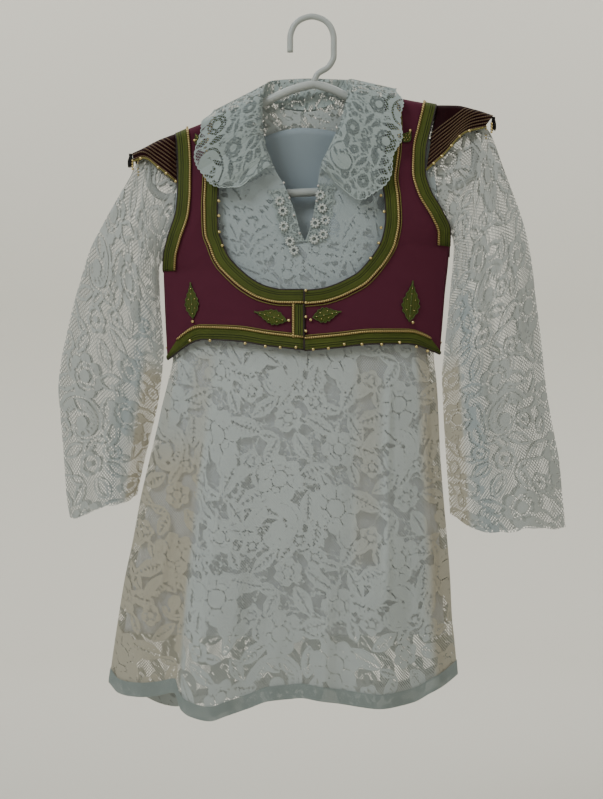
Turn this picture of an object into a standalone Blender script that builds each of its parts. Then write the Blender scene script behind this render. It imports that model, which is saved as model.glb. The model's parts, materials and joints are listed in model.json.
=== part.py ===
"""A child's folk costume on a clothes hanger.

A white lace dress with wide sleeves and a folded lace collar, and over it a short
waistcoat with ribbon edges and pointed shoulder wings. X runs to the viewer's right,
Z up, and the front faces -Y. The origin is the inside top of the hanger's hook.
The tables are in millimetres, and the meshes in metres.
"""
import math

import bmesh
import bpy
import numpy as np
from mathutils import Vector

MM = 0.001

# Cloth and seams
CLOTH = 1.1                # wall of every cloth piece
SEAM = 0.7                 # half the distance between the middles of two walls sewn edge to edge
BUTT = 0.45                # distance between two edges that meet in one surface
LIFT = 1.5                 # a ribbon's middle above the middle of its panel
RIBBON = 1.0               # wall of ribbons, bands and leaves
TRIM_GAP = 0.25            # how far a strip stops short of its neighbour
HOLE_SHARE = 0.6           # half width of a gap in the lace, as a share of its cell's half
HOLE_REACH = 5.2           # and in millimetres, at the most

# Hanger
TUBE_RADIUS = 4.7
HOOK_RADIUS = 3.4
FRAME_POINTS = 38
HOOK_POINTS = 18

# Dress
NECK_TOP = 7.0             # how far the shoulder rounds over the hanger, front and back
SHOULDER_ROUND = 6.0
SHOULDER_FALL = 80.0       # below the shoulder line the body has its full depth
BODY_FULLNESS = 2.4
ARMHOLE_DEPTH = 10.5
UNDERARM_LEFT = -262.0
UNDERARM_RIGHT = -234.0
ARMHOLE_TOPS = (-130.0, -102.0)    # z of the armholes' upper ends, left and right
ARMHOLE_ROUND = 0.7        # power of the armholes' rounded edge
FOLD_EDGE = 0.05           # folds fade out over this share of the width at each side
SLIT_BOTTOM = -246.0
BAND_HEIGHT = 16.0
BACK_DROP = 4.0            # the back hem hangs a little lower

# Waistcoat
VEST_ROUND = 10.6
VEST_SPARE = 6.5           # waistcoat's middle in front of the dress's
VEST_FULLNESS = 3.0
VEST_ARMHOLE = 17.0
VEST_UNDERARM_LEFT = -276.0
VEST_UNDERARM_RIGHT = -249.0
VEST_ARMHOLE_TOPS = (-126.0, -96.0)
BACK_ROUND = 3.0           # the back's second row, below its shoulder line

HANGER_ARMS = [
    # x, z: one round, from the neck down the left arm, along the bar, up the right arm
    (2, -71), (-18, -76), (-44, -87), (-76, -105), (-107, -121), (-145, -138), (-165, -148),
    (-176, -157), (-179, -171), (-174, -188), (-160, -196), (-120, -196), (-60, -193), (0, -190),
    (70, -188), (130, -187), (160, -183), (176, -171), (180, -152), (178, -132), (168, -120),
    (135, -108), (91, -99), (64, -92), (38, -84), (20, -76)]
HANGER_HOOK = [
    # x, z: from the neck round the bend to the tip
    (2, -69), (6, -60), (18, -52), (24, -40), (24, -20.6), (20.8, -8.6), (12, 0.2), (0, 3.4),
    (-12, 0.2), (-20.8, -8.6), (-24, -20.6), (-24, -36)]

SHOULDER_LINE = [
    # x, z of the dress's shoulder and sleeve top; the collar hides the middle
    (-200, -157), (-189, -150), (-179, -144), (-145, -129), (-107, -113), (-76, -96), (-59, -87),
    (46, -79), (64, -82.5), (91, -90), (135, -99), (178, -107), (196, -113), (210, -119)]
VEST_RISE = [(-200, 4.0), (-150, 4.0), (-90, 4.0), (80, 4.0), (140, 4.5), (210, 6.0)]

DRESS_SIDE_LEFT = [
    # z, x: a straight armhole down to the underarm, then the side
    (-129, -143), (-262, -155),
    (-281, -156), (-309, -155), (-331, -153.5), (-372, -153), (-397, -158), (-419, -163.5),
    (-452, -171), (-485, -179), (-529, -189), (-573, -197), (-610, -205), (-658, -213), (-726, -223)]
DRESS_SIDE_RIGHT = [
    # z, x
    (-97, 125), (-234, 141), (-259, 142),
    (-290, 141), (-321, 138.5), (-350, 135.5), (-368, 134), (-397, 137), (-419, 138.5), (-474, 141),
    (-529, 145), (-573, 149), (-614, 152), (-656, 154), (-685, 157), (-720, 160)]
NECKLINE_LEFT = [
    # x, z from the neck point to the foot of the slit
    (-60, -88), (-56, -102), (-53, -124), (-51, -139), (-46, -152), (-40, -168), (-31, -183),
    (-25, -197), (-18, -216), (-13, -234), (-8, -246)]
NECKLINE_RIGHT = [
    # x, z
    (47, -79), (41, -87), (35, -104), (29, -126), (19, -146), (9, -166), (6, -184), (4, -200),
    (0, -222), (-4, -236), (-8, -246)]
DEPTH = [
    # z, front, back: from the middle plane to the middle of the dress's wall
    (-80, 12, 12), (-120, 15, 15), (-165, 19, 18), (-220, 21, 20), (-275, 22, 20), (-380, 25, 23),
    (-500, 29, 28), (-620, 34, 33), (-740, 38, 36)]
HEM_FRONT = [
    # share of the width, z of the hem's edge; the hem drops at the fold
    (0.0, -729), (0.03, -740), (0.06, -742), (0.1, -742), (0.15, -740), (0.195, -736),
    (0.215, -753), (0.24, -759), (0.295, -763), (0.34, -758), (0.4, -751), (0.46, -743), (0.52, -741),
    (0.55, -740), (0.6, -743), (0.668, -747), (0.72, -750), (0.775, -752), (0.83, -750),
    (0.873, -747), (0.92, -738), (0.967, -729), (1.0, -720)]
FOLDS_FRONT = [
    # share of the width at the top and at the hem, z where it starts, height, half width at the hem
    (0.30, 0.30, -420, 11.0, 0.075), (0.47, 0.45, -520, 3.5, 0.05), (0.62, 0.60, -470, 4.0, 0.05),
    (0.84, 0.775, -400, 11.0, 0.08), (0.94, 0.93, -450, 5.0, 0.03), (0.07, 0.09, -440, 6.0, 0.04)]
FOLDS_BACK = [
    (0.18, 0.16, -400, 9.0, 0.07), (0.36, 0.38, -480, 6.0, 0.06), (0.56, 0.55, -420, 11.0, 0.08),
    (0.74, 0.76, -460, 7.0, 0.06), (0.90, 0.91, -430, 6.0, 0.05)]
STEP_FOLD = {"top": 0.175, "hem": 0.207, "start": -372.0, "height": 13.0, "rise": 0.012, "fade": 0.16}
DRESS_COLUMNS_LEFT = [0.0, 0.04, 0.09, 0.14, 0.18, 0.205, 0.225, 0.265, 0.31, 0.355, 0.4, 0.445, 0.49]
DRESS_COLUMNS_RIGHT = [0.535, 0.58, 0.625, 0.67, 0.715, 0.76, 0.81, 0.86, 0.91, 0.955, 1.0]
BACK_COLUMNS = [0.0, 0.05, 0.11, 0.17, 0.24, 0.313, 0.34, 0.39, 0.45, 0.51, 0.57, 0.63, 0.68, 0.705,
                0.765, 0.83, 0.89, 0.95, 1.0]
UPPER_LEVELS = (0.0, 0.022, 0.06, 0.16, 0.3, 0.45, 0.6, 0.7, 0.8, 0.9, 1.0)
BACK_LEVELS = (0.0, 0.0045, 0.014, 0.05, 0.11, 0.2, 0.29, 0.39, 0.5, 0.61, 0.72, 0.84, "band", 1.0)
LOWER_LEVELS = (0.08, 0.16, 0.25, 0.35, 0.46, 0.57, 0.68, 0.79, 0.9, "band", 1.0)
JOIN_LEVEL = 0.25
TRIM_ROW = 6
FRONT_GAPS = {"first_row": 2, "last_row": 9, "last_column": 21, "every": 5}
BACK_GAPS = {"first_row": 4, "last_row": 11, "last_column": 16, "every": 7}
TRIM_WAVE = 2.5
LINING_COLUMNS = [0.0, 0.08, 0.18, 0.29, 0.39, 0.49, 0.6, 0.71, 0.82, 0.92, 1.0]
LINING_LEVELS = (0.0, 0.08, 0.18, 0.3, 0.42, 0.54, 0.66, 0.78, 0.9, 1.0)
LINING_TOP_FRONT = [(0.0, -200), (0.25, -225), (0.49, -252), (0.75, -225), (1.0, -195)]
LINING_TOP_BACK = [(0.0, -190), (0.25, -135), (0.49, -118), (0.75, -130), (1.0, -180)]
LINING_HEM = -675.0
LINING_INSET = 9.0
LINING_SHARE = 0.82        # depth of the lining, as a share of the dress's
LINING_SPARE = 1.3
LINING_EASE = 26.0         # from its side seams, where front and back meet, to its full depth
LINING_ARMHOLE = (-215.0, 45.0)    # z where its armholes start to close, and over what height
NECK_BACK = [
    # x, z of the back's neck edge, between the two shoulders
    (-59, -87), (-52, -88.5), (-45, -92), (-28, -98), (-6, -100), (16, -96), (32, -88),
    (39, -82), (46, -79)]

SLEEVES = {
    "left": {
        "outer": [
            # x, z from the shoulder to the cuff
            (-144, -129.5), (-170, -141), (-185, -148), (-194, -160), (-200, -173), (-209, -188),
            (-221, -209), (-234, -233), (-244, -253), (-252, -278), (-258, -298), (-264, -320),
            (-269, -342), (-276, -376), (-279, -405), (-277, -433), (-275, -457), (-273, -481),
            (-271, -511), (-269, -532), (-266, -548)],
        "inner": [
            (-155.6, -262), (-163, -264), (-168, -274), (-167, -309), (-164, -345), (-163, -364),
            (-164, -380), (-168, -415), (-176, -452), (-184, -485), (-189, -507), (-192, -521)],
        "cuff": [(-266, -548), (-254, -546), (-240, -539), (-222, -533), (-212, -532), (-201, -528),
                 (-192, -521)],
        "side": DRESS_SIDE_LEFT, "under": UNDERARM_LEFT, "away": -1.0,
        "folds": [(0.62, 0.55, 3.5, 0.10), (0.30, 0.34, 2.5, 0.08)]},
    "right": {
        "outer": [
            (126, -97.5), (157, -104), (178, -110), (191, -118), (199, -131), (208, -156), (218, -183),
            (227, -207), (236, -237), (242, -269), (246, -305), (251, -343), (253, -361), (258, -408),
            (263, -438), (269, -469), (272, -485), (275, -518), (279, -558)],
        "inner": [
            (142, -234), (154, -238), (156, -251), (153, -290), (150, -321), (147, -350), (145, -370),
            (143, -390), (144, -419), (147, -474), (151, -529), (152, -542)],
        "cuff": [(279, -558), (264, -559), (238, -557), (222, -561), (207, -562), (184, -561),
                 (173, -556), (161, -549), (152, -542)],
        "side": DRESS_SIDE_RIGHT, "under": UNDERARM_RIGHT, "away": 1.0,
        "folds": [(0.60, 0.66, 4.0, 0.10), (0.28, 0.30, 2.5, 0.08)]}}
SLEEVE_ROWS = 14
SLEEVE_COLUMNS = 8
SLEEVE_SHARES = [0.0, 0.025, 0.08, 0.23, 0.42, 0.6, 0.78, 0.92, 1.0]
CAP_FLAT = 18.0            # the shoulder's rounding over the hanger, across and down the sleeve
CAP_FALL = 30.0
CAP_END = 0.2
CAP_FADE = 0.15
SLEEVE_DEPTH = [(0.0, 11.0), (0.15, 12.0), (0.45, 14.0), (0.75, 16.0), (1.0, 17.0)]

VEST_FRONTS = {
    "left": [
        # neck edge x, z and outer edge x, z: shoulder, armhole, side, then round the hem
        (-92, -104, -149, -126), (-99, -133, -147, -146), (-101, -160, -146, -168),
        (-102, -188, -146, -188), (-103, -209, -148, -212), (-102, -234, -157, -240),
        (-98, -246, -162, -260), (-94, -257, -163, -276), (-90, -264, -162, -305),
        (-84, -271, -160, -349), (-77, -278, -158, -374), (-66, -287, -120, -352.5),
        (-51, -295, -84, -354), (-31, -299, -48, -359.5), (-9, -299, -9, -364)],
    "right": [
        (79, -84, 136, -96), (81, -116, 129, -124), (80, -144, 124, -146), (76, -177, 123, -168),
        (79, -199, 128, -188), (80, -221, 142, -212), (76, -244, 151, -233), (68, -259, 151, -249),
        (62, -267, 147, -289), (56, -274, 142, -349), (49, -281, 140, -368), (37, -288, 104, -357),
        (24, -294, 66, -357.5), (8, -298.5, 29, -361.5), (-8.2, -300, -8.2, -365)]}
ARMHOLE_END = 7            # row of the table at the foot of the armhole
SIDE_END = 10              # row of the table at the corner of side and hem
ROUND_ROWS = (0.12, 0.4)   # rows added below the shoulder, where the cloth rounds over it
NECK_TRIM = (0.0, 10.0, 12.5, 15.5)
EDGE_TRIM = (0.0, 10.0, 12.5, 14.5)
CORD_RAISE = 0.7           # the gold cord stands above its ribbon
FRONT_EDGE = (0.0, 10.0, 13.0)
VEST_BACK_NECK = [
    # x, z of the back's neck edge, between the fronts' neck points
    (-92, -101), (-90, -103.5), (-84, -112), (-66, -122), (-40, -127), (-6, -128), (30, -123),
    (56, -110), (70, -96), (76.5, -86), (79, -82)]
VEST_BACK_COLUMNS = [0.0, 0.04, 0.06, 0.13, 0.2, 0.207, 0.23, 0.29, 0.38, 0.5, 0.63, 0.72, 0.77,
                     0.793, 0.8, 0.87, 0.94, 0.96, 1.0]
VEST_BACK_LEVELS = (0.0, "round", "neck", "neck_end", 0.16, 0.28, 0.4, 0.52, 0.61, 0.78, "hem_top",
                    "hem_low", 1.0)
VEST_BACK_ARMHOLE = 8      # row of the back at the foot of its armholes
VEST_BACK_HEM = [(0.0, -374), (0.14, -354), (0.5, -358), (0.86, -354), (1.0, -368)]

WINGS = {
    "left": {"fold": [(-149.6, -126), (-168, -133), (-185, -142), (-197, -147.5)],
             "edge": [(-147, -181), (-167, -165), (-184, -154), (-195, -157.5)], "side": -1.0},
    "right": {"fold": [(136.6, -94.7), (158, -95), (180, -99.8), (199, -106)],
              "edge": [(124, -168), (143, -151), (168, -126), (188, -121)], "side": 1.0}}
WING_ROWS = 8
WING_CORDS = 0.7
WING_DEPTH = 11.0
WING_ROUND = 8.0
WING_SLOPE = 0.14
WING_EASE = 0.2            # share of its length over which it leaves the armhole's edge
WING_SHARES = (0.0, 0.12, 0.3, 0.5, 0.75, 1.0)

COLLAR = [
    # seam x, z, how far it lies off the dress; fold x, y, z; edge x, y, z
    # from the left front round the back to the right front
    (-38, -172, -1.6, -40, -27.5, -167, -56, -33, -168),
    (-43, -161, -1.6, -44, -27.5, -160, -76, -34, -186),
    (-47, -152, -1.6, -48, -26.5, -150, -92, -34, -189),
    (-51, -141, -1.6, -51, -24, -136, -110, -33, -181),
    (-53, -126, -1.6, -53, -21, -122, -125, -32, -164),
    (-54, -112, -1.6, -54, -18, -104, -124, -29, -142),
    (-57, -98, -1.6, -53, -13, -88, -119, -22, -118),
    (-58.5, -86, -3.0, -52, -5, -76, -112, -9, -107),
    (-58.5, -85, 0.0, -50, 0, -70, -104, 0, -99),
    (-48, -91, 0.9, -44, 12, -65, -88, 22, -120),
    (-28, -96.6, 0.9, -22, 19, -62, -56, 33, -158),
    (-6, -98.6, 0.9, -3, 21, -61, -6, 35, -166),
    (17, -94.4, 0.9, 20, 19, -62, 48, 33, -152),
    (36, -86, 0.9, 38, 12, -64, 84, 22, -100),
    (45, -76.5, 0.0, 43, 0, -65, 90, 0, -76),
    (44.5, -78, -3.0, 42, -5, -68, 94, -10, -84),
    (41, -88, -1.6, 40, -13, -78, 97, -22, -100),
    (35, -104, -1.6, 36, -18, -96, 96, -29, -126),
    (29, -126, -1.6, 30, -23, -118, 90, -32, -148),
    (20, -145, -1.6, 22, -26, -136, 84, -33, -170),
    (14, -156, -1.6, 16, -27.5, -149, 72, -34, -192),
    (9, -166, -1.6, 11, -28, -159, 50, -34, -200),
    (6, -174, -1.6, 9, -28, -166, 26, -33, -184)]
COLLAR_STAND = 1.7         # its sewn edge above the back's neck edge
COLLAR_ROWS = 36
COLLAR_SCALLOPS = 12
SCALLOP_DEPTH = 4.0
COLLAR_RIPPLE = 2.0
COLLAR_STEPS = (0.08, 0.25, 0.5, 0.75, 1.0)
COLLAR_ROLL = 0.25

LEAVES = [
    # name, middle x, z, length, width, turn in degrees
    ("leaf_left_side", -131.5, -310, 40, 13, 4), ("leaf_left_centre", -45, -328, 37, 14, 74),
    ("leaf_right_centre", 16, -326, 32, 14, -78), ("leaf_right_side", 108, -311, 45, 17, -5),
    ("leaf_left_collar", -124, -134, 15, 9, 30), ("leaf_right_collar", 104, -131, 15, 9, -35)]

LEAF_STEPS = (0.0, 0.2, 0.45, 0.7, 1.0)
LEAF_LIFT = 0.3

TASSELS = [("tassel_left", -199.5, -151), ("tassel_right", 199.7, -110.6)]
TASSEL_STRANDS = 7
TASSEL_RADIUS = 3.4
TASSEL_HEAD = 7.0
STRAND_LENGTH = 12.0
STRAND_RADIUS = 0.9
STRAND_SPREAD = 2.6
STRAND_TAPER = 0.7         # a strand's upper radius, as a share of its lower one
STRAND_START = 0.6         # how far out it starts, as a share of its spread
STRAND_OPENING = 0.24      # and how much farther out it ends, for each mm of spread

COLOURS = {
    "lace": ((0.86, 0.87, 0.84), 0.85), "lining": ((0.80, 0.83, 0.87), 0.8),
    "burgundy": ((0.085, 0.004, 0.022), 0.5), "green": ((0.10, 0.18, 0.03), 0.55),
    "braid": ((0.16, 0.09, 0.05), 0.6), "thread": ((0.02, 0.015, 0.015), 0.8),
    "plastic": ((0.85, 0.86, 0.85), 0.35)}


def clear_scene():
    for thing in list(bpy.data.objects):
        bpy.data.objects.remove(thing, do_unlink=True)


def make_collection(name):
    group = bpy.data.collections.new(name)
    bpy.context.scene.collection.children.link(group)
    return group


def make_material(name):
    colour, roughness = COLOURS[name]
    material = bpy.data.materials.new(name)
    material.use_nodes = True
    shader = material.node_tree.nodes["Principled BSDF"]
    shader.inputs["Base Color"].default_value = (*colour, 1.0)
    shader.inputs["Roughness"].default_value = roughness
    shader.inputs["Metallic"].default_value = 0.0
    return material


def smooth(value):
    """A soft step from 0 to 1."""
    value = min(max(value, 0.0), 1.0)
    return value * value * (3.0 - 2.0 * value)


def quarter(value):
    """The rise of a quarter circle from 0 to 1."""
    value = min(max(value, 0.0), 1.0)
    return math.sqrt(1.0 - (1.0 - value) ** 2)


def read(table, key, column=1):
    """A table's column at a key, along a smooth curve that never overshoots its rows."""
    rows = table if table[0][0] < table[-1][0] else table[::-1]
    keys = [row[0] for row in rows]
    values = [row[column] for row in rows]
    if key <= keys[0]:
        return values[0]
    if key >= keys[-1]:
        return values[-1]
    place = int(np.searchsorted(keys, key, side="right")) - 1
    slopes = [(values[i + 1] - values[i]) / (keys[i + 1] - keys[i]) for i in range(len(keys) - 1)]

    def tangent(i):
        if i == 0 or i == len(keys) - 1:
            return slopes[min(i, len(slopes) - 1)]
        before, after = slopes[i - 1], slopes[i]
        if before * after <= 0.0:
            return 0.0
        return 2.0 * before * after / (before + after)

    width = keys[place + 1] - keys[place]
    share = (key - keys[place]) / width
    start = tangent(place) * width
    end = tangent(place + 1) * width
    low, high = values[place], values[place + 1]
    cubic = 2 * low - 2 * high + start + end
    square = 3 * (high - low) - 2 * start - end
    return ((cubic * share + square) * share + start) * share + low


def along(points, share):
    """The point at a share of the length of a smooth curve through the points."""
    points = np.array(points, dtype=float)
    steps = np.linalg.norm(np.diff(points, axis=0), axis=1)
    reach = np.concatenate([[0.0], np.cumsum(steps)]) / steps.sum()
    return np.array([read(list(zip(reach, points[:, k])), share) for k in range(points.shape[1])])


def mix(low, high, share):
    return low + (high - low) * share


def body_share(x, z, left, right):
    """Where x lies between the left and right edges at that height, from 0 to 1."""
    low, high = read(left, z), read(right, z)
    return min(max((x - low) / (high - low), 0.0), 1.0)


def armhole_depth(z, top, under, depth):
    """How far an armhole's edge stands from the middle plane: none at its two ends."""
    share = (top - z) / (top - under)
    if share <= 0.0 or share >= 1.0:
        return SEAM
    return SEAM + depth * math.sin(math.pi * share) ** ARMHOLE_ROUND


def fold_height(folds, share, z):
    """Folds only stand out from the body, so that what is inside stays clear."""
    height = 0.0
    for top, hem, start, rise, width in folds:
        ease = smooth((start - z) / (start - HEM_FRONT[0][1]))
        if ease <= 0.0:
            continue
        middle = mix(top, hem, ease)
        height += rise * ease * math.exp(-((share - middle) / width) ** 2)
    edge = min(share, 1.0 - share) / FOLD_EDGE
    return height * smooth(edge)


def step_height(share, z):
    """The long fold at the left, where the front laps over itself."""
    ease = smooth((STEP_FOLD["start"] - z) / (STEP_FOLD["start"] - HEM_FRONT[0][1]))
    beyond = share - mix(STEP_FOLD["top"], STEP_FOLD["hem"], ease)
    rise = 1.0 / (1.0 + math.exp(-beyond / STEP_FOLD["rise"]))
    return STEP_FOLD["height"] * ease * rise * math.exp(-max(beyond, 0.0) / STEP_FOLD["fade"])


def shoulder(x):
    return read(SHOULDER_LINE, x)


def dress_depth(x, z, side):
    """Distance of the dress's wall from the middle plane; side is -1 in front, 1 behind."""
    share = body_share(x, z, DRESS_SIDE_LEFT, DRESS_SIDE_RIGHT)
    edge = mix(armhole_depth(z, ARMHOLE_TOPS[0], UNDERARM_LEFT, ARMHOLE_DEPTH),
               armhole_depth(z, ARMHOLE_TOPS[1], UNDERARM_RIGHT, ARMHOLE_DEPTH), share)
    full = read(DEPTH, z, 1 if side < 0 else 2)
    swell = 1.0 - abs(2.0 * share - 1.0) ** BODY_FULLNESS
    depth = edge + (full - edge) * swell
    if side < 0:
        depth += fold_height(FOLDS_FRONT, share, z) + step_height(share, z)
    else:
        depth += fold_height(FOLDS_BACK, share, z)
    drop = shoulder(x) - z
    rounded = SEAM + NECK_TOP * quarter(drop / SHOULDER_ROUND)
    return rounded + (depth - SEAM - NECK_TOP) * smooth(drop / SHOULDER_FALL)


def lining_depth(x, z, side):
    """The lining hangs inside the dress and has none of its folds."""
    share = body_share(x, z, DRESS_SIDE_LEFT, DRESS_SIDE_RIGHT)
    full = read(DEPTH, z, 1 if side < 0 else 2)
    swell = 1.0 - abs(2.0 * share - 1.0) ** BODY_FULLNESS
    drop = shoulder(x) - z
    edge = mix(armhole_depth(z, ARMHOLE_TOPS[0], UNDERARM_LEFT, ARMHOLE_DEPTH),
               armhole_depth(z, ARMHOLE_TOPS[1], UNDERARM_RIGHT, ARMHOLE_DEPTH), share)
    depth = edge + (full - edge) * swell
    outer = SEAM + NECK_TOP * quarter(drop / SHOULDER_ROUND)
    outer += (depth - SEAM - NECK_TOP) * smooth(drop / SHOULDER_FALL)
    low = x - read(DRESS_SIDE_LEFT, z) - LINING_INSET
    high = read(DRESS_SIDE_RIGHT, z) - LINING_INSET - x
    start, height = LINING_ARMHOLE
    ease = mix(1.0, smooth(min(low, high) / LINING_EASE), smooth((start - z) / height))
    return max(SEAM, mix(SEAM, LINING_SHARE * outer - LINING_SPARE, ease))


def vest_edge(side, z, name):
    """The waistcoat's side and armhole edge, from its fronts' outer points."""
    rows = VEST_FRONTS[name][:SIDE_END + 1]
    return read([(row[3], row[2]) for row in rows], z)


def vest_line(x):
    return shoulder(x) + read(VEST_RISE, x)


def vest_depth(x, z, side):
    low, high = vest_edge(-1, z, "left"), vest_edge(1, z, "right")
    share = min(max((x - low) / (high - low), 0.0), 1.0)
    edge = mix(armhole_depth(z, VEST_ARMHOLE_TOPS[0], VEST_UNDERARM_LEFT, VEST_ARMHOLE),
               armhole_depth(z, VEST_ARMHOLE_TOPS[1], VEST_UNDERARM_RIGHT, VEST_ARMHOLE), share)
    full = read(DEPTH, z, 1 if side < 0 else 2) + VEST_SPARE
    swell = 1.0 - abs(2.0 * share - 1.0) ** VEST_FULLNESS
    depth = edge + (full - edge) * swell
    drop = vest_line(x) - z
    rounded = SEAM + VEST_ROUND * quarter(drop / (SHOULDER_ROUND + 2.0))
    return rounded + (depth - SEAM - VEST_ROUND) * smooth(drop / SHOULDER_FALL)


def grid_faces(rows, columns, holes):
    """Corner numbers of a grid's cells: those that stay whole and those with a hole."""
    whole = []
    holed = []
    for i in range(rows - 1):
        for j in range(columns - 1):
            corners = (i * columns + j, i * columns + j + 1,
                       (i + 1) * columns + j + 1, (i + 1) * columns + j)
            if holes and holes(i, j):
                holed.append(corners)
            else:
                whole.append(corners)
    return whole, holed


def open_sheet(name, grids, holes=None):
    """A mesh of grids of points, welded where they meet.

    A cell of lace with a gap in it has a diamond cut through, its corners towards
    the middles of the cell's sides. holes holds one rule for each grid.
    """
    points = []
    faces = []
    for number, grid in enumerate(grids):
        grid = np.array(grid, dtype=float)
        first = len(points)
        points.extend(tuple(point) for point in grid.reshape(-1, 3))
        whole, holed = grid_faces(grid.shape[0], grid.shape[1], holes[number] if holes else None)
        faces.extend(tuple(first + k for k in face) for face in whole)
        for corners in holed:
            ring = [first + k for k in corners]
            places = [np.array(points[k]) for k in ring]
            middle = sum(places) / 4.0
            rim = []
            for k in range(4):
                half = (places[k] + places[(k + 1) % 4]) / 2.0
                rim.append(len(points))
                reach = np.linalg.norm(half - middle)
                points.append(tuple(middle + (half - middle) * min(HOLE_SHARE, HOLE_REACH / reach)))
            for k in range(4):
                faces.append((ring[k], ring[(k + 1) % 4], rim[k]))
                faces.append((ring[k], rim[k], rim[(k + 3) % 4]))
    mesh = bpy.data.meshes.new(name)
    mesh.from_pydata([(x * MM, y * MM, z * MM) for x, y, z in points], [], faces)
    shape = bmesh.new()
    shape.from_mesh(mesh)
    bmesh.ops.remove_doubles(shape, verts=shape.verts, dist=0.02 * MM)
    bmesh.ops.recalc_face_normals(shape, faces=shape.faces)
    shape.to_mesh(mesh)
    shape.free()
    return mesh


def add_cloth(parts, name, grids, material, wall=CLOTH, holes=None):
    """One cloth piece: open grids with a wall of even thickness round their middle."""
    mesh = open_sheet(name, grids, holes)
    mesh.materials.append(material)
    piece = bpy.data.objects.new(name, mesh)
    parts.objects.link(piece)
    shell = piece.modifiers.new("wall", "SOLIDIFY")
    shell.thickness = wall * MM
    shell.offset = 0.0
    mesh.shade_smooth()
    return piece


def normals(points):
    """Unit normals of a grid of points, all towards +Y."""
    down = np.gradient(points, axis=0)
    across = np.gradient(points, axis=1)
    found = np.cross(down, across)
    found /= np.maximum(np.linalg.norm(found, axis=2, keepdims=True), 1e-9)
    return found * np.sign(found[:, :, 1:2])


def strip(grid, lift, raised=None, ends=(True, True), sides=(True, True)):
    """A strip made from a panel's own points, moved out by lift, square to the panel.

    raised gives extra height for each column; an end or side that meets another
    strip stops a little short of it.
    """
    points = np.array(grid, dtype=float)
    heights = np.full(points.shape[1], abs(lift))
    if raised is not None:
        heights += np.array(raised)
    moved = points + normals(points) * math.copysign(1.0, lift) * heights[None, :, None]
    if ends[0]:
        moved[0] = pull(moved[0], moved[1])
    if ends[1]:
        moved[-1] = pull(moved[-1], moved[-2])
    if sides[0]:
        moved[:, 0] = pull(moved[:, 0], moved[:, 1])
    if sides[1]:
        moved[:, -1] = pull(moved[:, -1], moved[:, -2])
    return moved


def pull(edge, inside):
    """Edge points moved a hair towards the points inside them."""
    away = inside - edge
    size = np.linalg.norm(away, axis=1, keepdims=True)
    return edge + away / np.maximum(size, 1e-6) * TRIM_GAP


def tube(name, route, radius, closed, material, parts, sides=2):
    """A tube through the route's points, as a mesh with welded caps."""
    curve = bpy.data.curves.new(name, "CURVE")
    curve.dimensions = "3D"
    curve.bevel_depth = radius * MM
    curve.bevel_resolution = sides
    curve.use_fill_caps = not closed
    line = curve.splines.new("POLY")
    line.points.add(len(route) - 1)
    for point, (x, z) in zip(line.points, route):
        point.co = (x * MM, 0.0, z * MM, 1.0)
    line.use_cyclic_u = closed
    carrier = bpy.data.objects.new(name, curve)
    parts.objects.link(carrier)
    graph = bpy.context.evaluated_depsgraph_get()
    mesh = bpy.data.meshes.new_from_object(carrier.evaluated_get(graph))
    bpy.data.objects.remove(carrier, do_unlink=True)
    bpy.data.curves.remove(curve)
    shape = bmesh.new()
    shape.from_mesh(mesh)
    bmesh.ops.remove_doubles(shape, verts=shape.verts, dist=0.001 * MM)
    bmesh.ops.recalc_face_normals(shape, faces=shape.faces)
    shape.to_mesh(mesh)
    shape.free()
    mesh.materials.clear()
    mesh.materials.append(material)
    piece = bpy.data.objects.new(name, mesh)
    parts.objects.link(piece)
    return piece


def add_hanger(parts, cutters, material):
    """A tubular hanger whose arms follow the garment's shoulders, with its rod hook."""
    loop = HANGER_ARMS + HANGER_ARMS[:1]
    frame_route = [along(loop, k / FRAME_POINTS) for k in range(FRAME_POINTS)]
    hook_route = [along(HANGER_HOOK, share) for share in np.linspace(0.0, 1.0, HOOK_POINTS)]
    frame = tube("hanger", frame_route, TUBE_RADIUS, True, material, parts)
    hook = tube("hanger_hook", hook_route, HOOK_RADIUS, False, material, cutters)
    hook.hide_render = True
    hook.display_type = "WIRE"
    join = frame.modifiers.new("hook", "BOOLEAN")
    join.operation = "UNION"
    join.object = hook
    frame.data.shade_smooth()


def upper_front(side):
    """The dress's front beside the slit, from the shoulder to the slit's foot."""
    left = side == "left"
    columns = DRESS_COLUMNS_LEFT if left else [DRESS_COLUMNS_LEFT[-1]] + DRESS_COLUMNS_RIGHT
    neckline = NECKLINE_LEFT if left else NECKLINE_RIGHT
    table = DRESS_SIDE_LEFT if left else DRESS_SIDE_RIGHT
    top = table[0][0]
    middle = DRESS_COLUMNS_LEFT[-1]
    rows = []
    for share in UPPER_LEVELS:
        z_out = mix(top, SLIT_BOTTOM - 4.0, share)
        outer = np.array([read(table, z_out) + (BUTT if left else -BUTT), z_out])
        inner = along(neckline, share)
        row = []
        for column in columns:
            place = column / middle if left else (1.0 - column) / (1.0 - middle)
            x, z = mix(outer, inner, place)
            if share == 0.0:
                z = shoulder(x)
            row.append((x, -dress_depth(x, z, -1), z))
        rows.append(row)
    return rows


def side_points(z, column):
    """x at a share of the dress's width; the armhole edges stop just short of the sleeves."""
    low = read(DRESS_SIDE_LEFT, z) + (BUTT if z > UNDERARM_LEFT else 0.0)
    high = read(DRESS_SIDE_RIGHT, z) - (BUTT if z > UNDERARM_RIGHT else 0.0)
    return mix(low, high, column)


def lower_front(seam_row):
    """The dress's front below the slit; the last two rows carry the hem band."""
    columns = DRESS_COLUMNS_LEFT + DRESS_COLUMNS_RIGHT
    rows = [seam_row]
    for level in LOWER_LEVELS:
        row = []
        for column, start in zip(columns, seam_row):
            hem = read(HEM_FRONT, column)
            z = hem + BAND_HEIGHT if level == "band" else mix(start[2], hem, level)
            x = side_points(z, column)
            if level != "band" and level < JOIN_LEVEL:
                x = mix(start[0], x, level / JOIN_LEVEL)
            row.append((x, -dress_depth(x, z, -1), z))
        rows.append(row)
    return rows


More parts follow.
